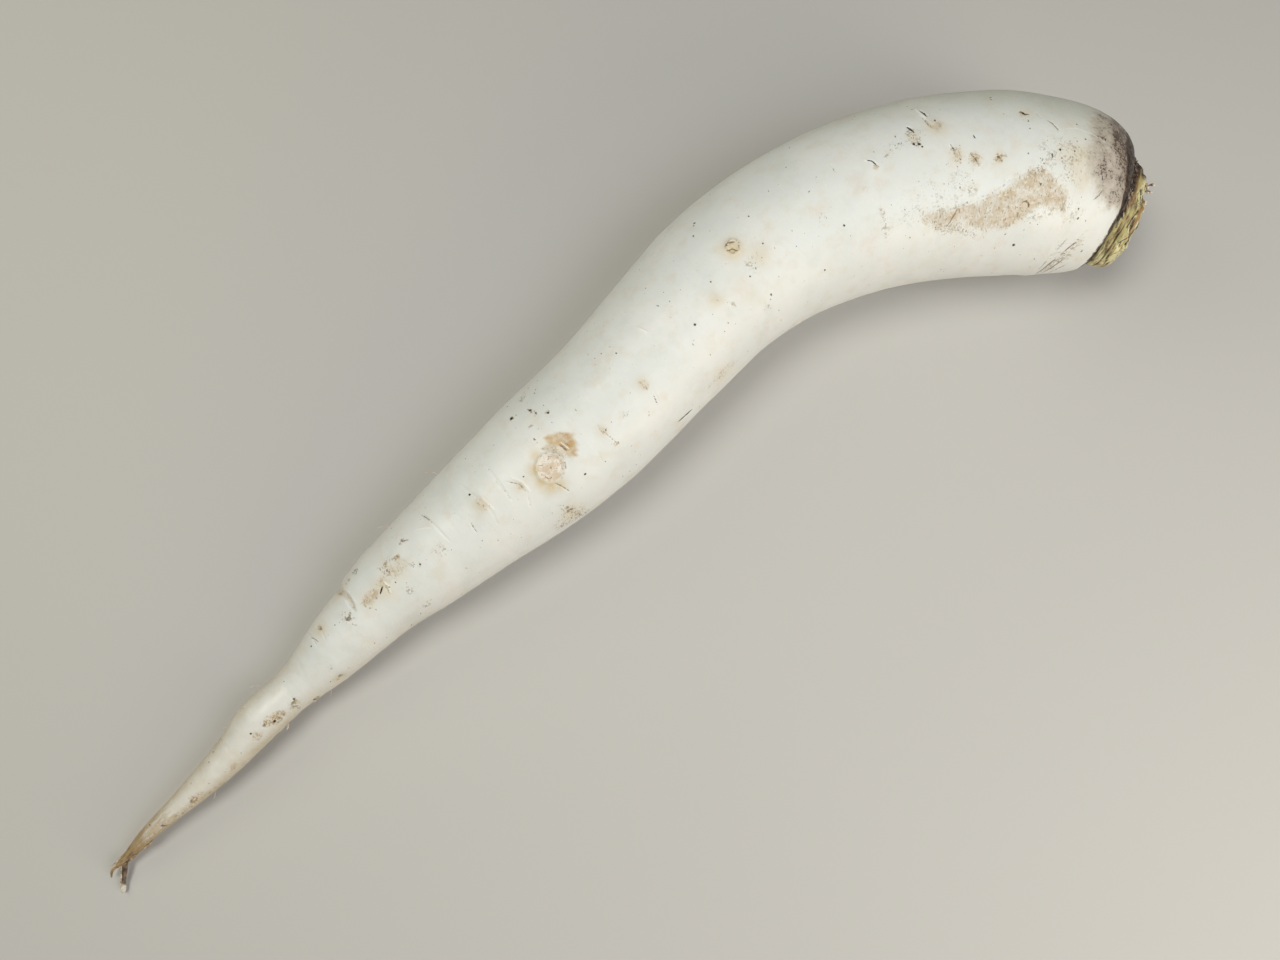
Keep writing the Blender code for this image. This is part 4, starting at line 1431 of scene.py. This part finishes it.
def skin_material():
    """The root's skin, from its white base to the stains, scars, soil, painted highlights and shade, and husk
    on top of it.
    """
    n = Nodes("white_skin", 0.4, "straight")
    fine = n.noise(420.0, 4.0)
    gritty = n.noise(1300.0, 4.0, 0.7)
    mottle = n.noise(240.0, 5.0, 0.72)
    fibre = n.noise(1500.0, 3.0, 0.65, n.stretched((1.0, 0.3, 0.3), 0.0006, 250.0))
    colour = tinted(n, fibre)
    colour = abraded(n, colour, fibre, mottle)
    colour = scarred(n, colour, fine, gritty, mottle)
    colour = stained(n, colour, gritty)
    broken = ragged(n, n.mask("line"), n.noise(1100.0, 3.0, 0.6), 1.3, 0.25, 0.75)
    colour = n.mix(n.times(broken, 0.9), colour, (0.23, 0.155, 0.09))
    # Raised lips turned near-white: a painted highlight.
    colour = n.mix(n.times(n.mask("pale"), 0.95), colour, (0.96, 0.96, 0.92))
    colour = specked(n, husked(n, colour))
    dark = ragged(n, n.mask("dark"), gritty, 1.0, 0.25, 0.65)
    colour = n.mix(dark, colour, (0.040, 0.025, 0.016))
    n.set("Base Color", colour)
    dry = n.math("MAXIMUM", n.math("MAXIMUM", n.mask("tan"), n.mask("husk")), n.mask("cork"))
    n.set("Roughness", n.math("ADD", n.remap(fine, 0.3, 0.7, 0.34, 0.46), n.times(dry, 0.3), clamp=True))
    n.set("Specular IOR Level", n.remap(dark, 0.0, 1.0, 0.4, 0.12))
    n.set("Subsurface Weight", 0.15)
    n.set("Subsurface Radius", (1.0, 0.8, 0.55))
    n.set("Subsurface Scale", 0.0012)
    pores = n.bump(n.plus(n.noise(900.0, 3.0), fibre), 0.00006, 0.7)
    rough = n.times(n.plus(fibre, gritty), dry)
    n.set("Normal", n.bump(rough, 0.00022, 0.8, Normal=pores))
    return n.material


def tinted(n, fibre):
    """White skin with faint mottling, greener at the shoulder, yellower towards the tail, and painted warm
    shade on the tail's sides.
    """
    broad = n.noise(45.0, 3.0)
    colour = n.mix(n.remap(broad, 0.35, 0.7), (0.775, 0.80, 0.785), (0.82, 0.83, 0.81))
    for scale, detail, rough, low, high, share, tint in MOTTLES:
        colour = n.mix(n.remap(n.noise(scale, detail, rough), low, high, 0.0, share), colour, tint)
    colour = n.mix(n.times(n.mask("green"), 0.36), colour, (0.50, 0.50, 0.33))
    uneven = n.remap(n.noise(200.0, 4.0, 0.65), 0.3, 0.66, 0.75, 1.1)
    # The tail mask holds the tail's own yellow and painted warm shade on its sides.
    yellow_and_painted_shade = n.math("MULTIPLY", n.mask("tail"), uneven, clamp=True)
    colour = n.mix(yellow_and_painted_shade, colour, (0.56, 0.475, 0.33))
    colour = n.mix(n.mask("halo"), colour, (0.69, 0.585, 0.39))
    return n.mix(n.remap(fibre, 0.50, 0.75, 0.0, 0.25), colour, (0.86, 0.87, 0.85))


def abraded(n, colour, fibre, mottle):
    """Tan abrasion of mixed hues, broken up into grain, with short dark dashes in it."""
    grain = n.plus(n.times(fibre, 0.5), n.times(mottle, 0.5))
    tan = ragged(n, n.mask("tan"), grain, 2.4, 0.10, 1.05)
    tan = n.times(tan, n.remap(mottle, 0.36, 0.62, 0.55, 1.0))
    hue = n.mix(n.remap(n.noise(120.0, 3.0), 0.36, 0.54), (0.70, 0.60, 0.485), (0.60, 0.50, 0.36))
    hue = n.mix(n.remap(n.noise(700.0, 4.0, 0.7), 0.50, 0.66, 0.0, 0.75), hue, (0.47, 0.415, 0.30))
    hue = n.mix(n.remap(n.noise(820.0, 3.0, 0.6), 0.54, 0.64, 0.0, 0.7), hue, (0.82, 0.78, 0.70))
    colour = n.mix(tan, colour, hue)
    slanted = n.noise(1900.0, 3.0, 0.6, n.stretched((1.0, 0.42, 0.42), 0.0012, 350.0))
    dashes = n.times(n.remap(n.mask("tan"), 0.05, 0.6), n.remap(slanted, 0.56, 0.68))
    return n.mix(n.times(dashes, 0.85), colour, (0.32, 0.225, 0.135))


def scarred(n, colour, fine, gritty, mottle):
    """The corky discs of the calluses, and the brown skin beside the largest."""
    cork = n.mix(n.remap(gritty, 0.32, 0.46), (0.62, 0.49, 0.37), (0.86, 0.81, 0.74))
    cork = n.mix(n.remap(mottle, 0.46, 0.58, 0.0, 0.8), cork, (0.68, 0.55, 0.40))
    colour = n.mix(ragged(n, n.mask("cork"), fine, 0.5, 0.2, 0.6), colour, cork)
    brown = n.times(n.mask("brown"), n.remap(mottle, 0.35, 0.6, 0.5, 1.0))
    return n.mix(brown, colour, n.mix(n.remap(fine, 0.35, 0.65), (0.50, 0.33, 0.15), (0.60, 0.44, 0.24)))


def husked(n, colour):
    """The dry tip's husk, streaked brown and straw along the root."""
    along = n.noise(700.0, 4.0, 0.65, n.stretched((0.25, 1.0, 1.0), 0.0004, 500.0))
    husk = n.mix(n.remap(along, 0.34, 0.48), (0.10, 0.055, 0.028), (0.38, 0.27, 0.14))
    husk = n.mix(n.remap(along, 0.54, 0.68), husk, (0.66, 0.55, 0.37))
    return n.mix(ragged(n, n.mask("husk"), along, 1.8, 0.10, 0.80), colour, husk)


def stained(n, colour, gritty):
    """The violet-grey stain under the crown: a wash, blotches in a net, and the soiled rim."""
    mask = n.mask("violet")
    blotchy = n.noise(300.0, 5.0, 0.72)
    shaken = n.plus(mask, n.times(n.math("SUBTRACT", blotchy, 0.5), 0.9))
    held = n.remap(mask, 0.0, 0.45)
    wash = n.times(n.remap(shaken, 0.05, 0.95), held)
    colour = n.mix(n.times(n.remap(shaken, 0.0, 0.5, 0.0, 0.5), held), colour, (0.60, 0.51, 0.40))
    colour = n.mix(n.times(wash, 0.88), colour, (0.31, 0.245, 0.195))
    net = n.plus(n.times(mask, 0.24), n.times(gritty, 0.7))
    net = n.plus(net, n.times(blotchy, 0.6))
    spots = n.times(n.remap(net, 0.81, 0.93), held)
    colour = n.mix(n.times(spots, 0.85), colour, (0.06, 0.042, 0.034))
    along = n.noise(900.0, 4.0, 0.65, n.stretched((0.45, 1.0, 1.0), 0.0006, 500.0))
    earth = n.mix(n.remap(along, 0.46, 0.68), (0.016, 0.009, 0.007), (0.14, 0.09, 0.063))
    return n.mix(ragged(n, n.mask("rim"), along, 1.1, 0.3, 0.8), colour, earth)


def specked(n, colour):
    """Specks of soil: a sparse scatter everywhere, and many where the soil mask is strong."""
    shaken = n.stretched((1.0, 0.75, 0.75), 0.0011, 900.0)
    soil = n.mask("soil")
    speck = n.mix(n.remap(n.noise(50.0, 2.0), 0.40, 0.60), (0.075, 0.048, 0.030), (0.21, 0.145, 0.075))
    for scale, small, large, sparse, dense in SPECKS:
        distance, number, shade = n.cells(scale, shaken)
        size = n.remap(shade, 0.0, 1.0, small, large)
        dot = n.remap(n.math("DIVIDE", distance, size), 1.15, 0.6)
        least = n.remap(soil, 0.0, 1.0, sparse, dense)
        shown = n.math("GREATER_THAN", number, least)
        depth = n.remap(shade, 0.1, 0.9, 0.30, 0.95)
        dot = n.times(n.times(dot, shown), depth)
        colour = n.mix(dot, colour, speck)
    clumps = n.times(n.noise(280.0, 2.0), 0.45)
    patchy = n.plus(n.noise(1100.0, 4.0, 0.75), n.times(soil, 0.13))
    patchy = n.plus(patchy, clumps)
    smudge = n.times(n.math("MULTIPLY", soil, 1.3, clamp=True), n.remap(patchy, 0.79, 0.92))
    clump = n.mix(n.remap(n.noise(500.0, 3.0), 0.38, 0.58), (0.15, 0.10, 0.045), (0.40, 0.29, 0.13))
    return n.mix(n.times(smudge, 0.85), colour, clump)


def crown_material():
    """The cut leaf stalks: brown and pale green strips, fresh cut flesh, dark gaps, soil low down, and
    painted shade in the creases.
    """
    n = Nodes("cut_leaf_stalks", 0.62)
    dull = (0.34, 0.21, 0.085)
    grain = n.noise(900.0, 4.0, 0.6)
    blotchy = n.noise(260.0, 4.0, 0.65)
    layer = n.plus(n.times(n.mask("tone"), 0.5), n.times(n.mask("strip"), 0.6))
    colour = n.mix(n.remap(layer, 0.22, 0.46), dull, (0.49, 0.43, 0.19))
    colour = n.mix(n.remap(layer, 0.54, 0.78), colour, (0.74, 0.68, 0.38))
    colour = n.mix(n.remap(blotchy, 0.50, 0.70, 0.0, 0.75), colour, dull)
    colour = n.mix(n.times(n.mask("vein"), 0.85), colour, (0.83, 0.79, 0.57))
    flesh = n.mix(n.remap(grain, 0.35, 0.65), (0.50, 0.49, 0.26), (0.74, 0.70, 0.47))
    colour = n.mix(n.mask("cut"), colour, flesh)
    grooved = n.times(n.mask("groove"), n.remap(grain, 0.3, 0.6, 0.3, 0.95))
    colour = n.mix(grooved, colour, (0.10, 0.058, 0.028))
    violet = n.times(n.mask("violet"), n.remap(grain, 0.35, 0.62, 0.55, 1.0))
    colour = n.mix(violet, colour, (0.115, 0.08, 0.068))
    low = n.times(n.mask("low"), n.remap(grain, 0.35, 0.6, 1.0, 0.7))
    colour = n.mix(low, colour, (0.07, 0.04, 0.027))
    colour = n.mix(n.times(n.mask("slot"), 0.9), colour, (0.04, 0.025, 0.018))
    # Painted shade in the creases, where little space is open.
    colour = n.mix(n.remap(n.mask("crease"), 0.28, 0.75), colour, (0.025, 0.016, 0.012))
    n.set("Base Color", colour)
    n.set("Roughness", n.remap(grain, 0.3, 0.7, 0.5, 0.75))
    n.set("Subsurface Weight", 0.1)
    n.set("Subsurface Scale", 0.001)
    n.set("Normal", n.bump(n.noise(2000.0, 4.0), 0.00018, 0.8))
    return n.material


def groove_fibre_material():
    n = Nodes("groove_fibre", 0.7)
    grain = n.noise(1200.0, 3.0)
    dark = n.mix(n.remap(grain, 0.40, 0.66), (0.026, 0.016, 0.012), (0.12, 0.08, 0.06))
    n.set("Base Color", n.mix(n.remap(n.mask("tone"), 0.84, 0.98, 0.0, 0.7), dark, (0.42, 0.33, 0.26)))
    return n.material


def curl_material():
    n = Nodes("dry_curl", 0.55)
    grain = n.noise(900.0, 3.0)
    brown = n.mix(n.remap(grain, 0.35, 0.65), (0.16, 0.10, 0.05), (0.48, 0.34, 0.20))
    n.set("Base Color", n.mix(n.mask("bright"), brown, (0.80, 0.68, 0.56)))
    return n.material


def fibre_material():
    n = Nodes("torn_skin", 0.5)
    grain = n.noise(700.0, 3.0)
    n.set("Base Color", n.mix(n.remap(grain, 0.38, 0.62), (0.30, 0.19, 0.10), (0.66, 0.54, 0.40)))
    return n.material


def rootlet_material():
    n = Nodes("dry_rootlet", 0.6)
    grain = n.noise(800.0, 3.0)
    n.set("Base Color", n.mix(n.remap(grain, 0.35, 0.65), (0.62, 0.49, 0.36), (0.84, 0.79, 0.70)))
    n.set("Normal", n.bump(grain, 0.00005, 0.5))
    return n.material


def tip_rootlet_material():
    n = Nodes("flat_rootlet", 0.5)
    grain = n.noise(900.0, 4.0)
    dark = n.mix(n.remap(grain, 0.4, 0.62), (0.07, 0.05, 0.04), (0.22, 0.16, 0.11))
    pale = n.mix(n.remap(grain, 0.4, 0.65), (0.60, 0.56, 0.46), (0.85, 0.84, 0.78))
    n.set("Base Color", n.mix(n.mask("white_end"), dark, pale))
    n.set("Normal", n.bump(grain, 0.0001, 0.6))
    return n.material


def floor_material():
    n = Nodes("floor", 0.65)
    n.set("Base Color", n.mix(n.noise(6.0, 2.0), (0.548, 0.538, 0.522), (0.560, 0.550, 0.534)))
    return n.material


def build_floor():
    bpy.ops.mesh.primitive_plane_add(size=FLOOR_SIZE, location=(0, 0, -FLOOR_GAP))
    floor = bpy.context.active_object
    floor.name = "floor"
    floor.data.materials.append(floor_material())


def camera_axes():
    """The camera's right, up and back directions, and the level direction up the picture."""
    right = Vector((math.cos(EYE_TURN), -math.sin(EYE_TURN), 0))
    level = Vector((math.sin(EYE_TURN), math.cos(EYE_TURN), 0))
    back = Vector((0, 0, math.cos(EYE_TILT))) - level * math.sin(EYE_TILT)
    up = level * math.cos(EYE_TILT) + Vector((0, 0, math.sin(EYE_TILT)))
    return right, up, back, level


def build_camera():
    right, up, back, _ = camera_axes()
    data = bpy.data.cameras.new("camera")
    data.sensor_width = SENSOR_WIDTH
    data.lens = LENS
    data.clip_start, data.clip_end = 0.01, 20.0
    camera = bpy.data.objects.new("camera", data)
    camera.matrix_world = Matrix((right, up, back)).transposed().to_4x4()
    camera.location = (-BOX_MIDDLE[0] * MM, -BOX_MIDDLE[1] * MM, EYE_HEIGHT * MM)
    bpy.context.scene.collection.objects.link(camera)
    bpy.context.scene.camera = camera


def area_light(name, place, target, size, power, colour):
    data = bpy.data.lights.new(name, "AREA")
    data.shape = "DISK"
    data.size = size
    data.energy = power
    data.color = colour
    light = bpy.data.objects.new(name, data)
    light.location = place
    light.rotation_euler = (Vector(target) - Vector(place)).to_track_quat("-Z", "Y").to_euler()
    bpy.context.scene.collection.objects.link(light)


def build_lights():
    """Soft lamps: a key and a low one beside the crown, one overhead and one behind the tail."""
    right, _, _, level = camera_axes()
    up = Vector((0, 0, 1))
    crown = Vector((0.12, 0, 0.03))
    tail = Vector((-0.12, 0, 0.02))
    side = (right - level).normalized()
    key = crown + 0.8 * (side * 0.57 + up * 0.82)
    low = crown + 0.8 * (side * 0.94 + up * 0.34)
    overhead = up * 1.5 - right * 0.5
    back = tail + 0.8 * (level * 0.45 - right * 0.60 + up * 0.66)
    area_light("key", key, crown, 0.5, 2.35, (0.935, 0.98, 1.05))
    area_light("low", low, crown, 0.5, 2.75, (1.0, 0.875, 0.67))
    area_light("overhead", overhead, (0, 0, 0), 0.8, 11.7, (1.0, 0.985, 0.90))
    area_light("back", back, tail, 0.45, 0.95, (1.0, 0.94, 0.73))
    world = bpy.data.worlds.new("studio")
    world.use_nodes = True
    background = world.node_tree.nodes["Background"]
    background.inputs["Color"].default_value = (0.86, 0.82, 0.66, 1.0)
    background.inputs["Strength"].default_value = 0.05
    bpy.context.scene.world = world


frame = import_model()
root_axis = Axis(AXIS)
root_skin = build_skin(root_axis, skin_material())
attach(root_skin, "root")
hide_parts("root")
crown_stalks = build_crown(root_axis, crown_material())
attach(crown_stalks, "root")
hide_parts("leaf_stalks")
crown_curls = build_curls(root_axis, curl_material())
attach(crown_curls, "root")
groove_fibres = build_groove_fibres(root_axis, groove_fibre_material())
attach(groove_fibres, "root")
rootlets = build_rootlets(root_axis, rootlet_material())
tip_rootlet = build_tip_rootlet(tip_rootlet_material())
tip_fibres = build_tip_fibres(fibre_material())
for small in (rootlets, tip_rootlet, tip_fibres):
    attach(small, "root")
build_floor()
build_camera()
build_lights()
bpy.context.scene.view_settings.view_transform = "Standard"
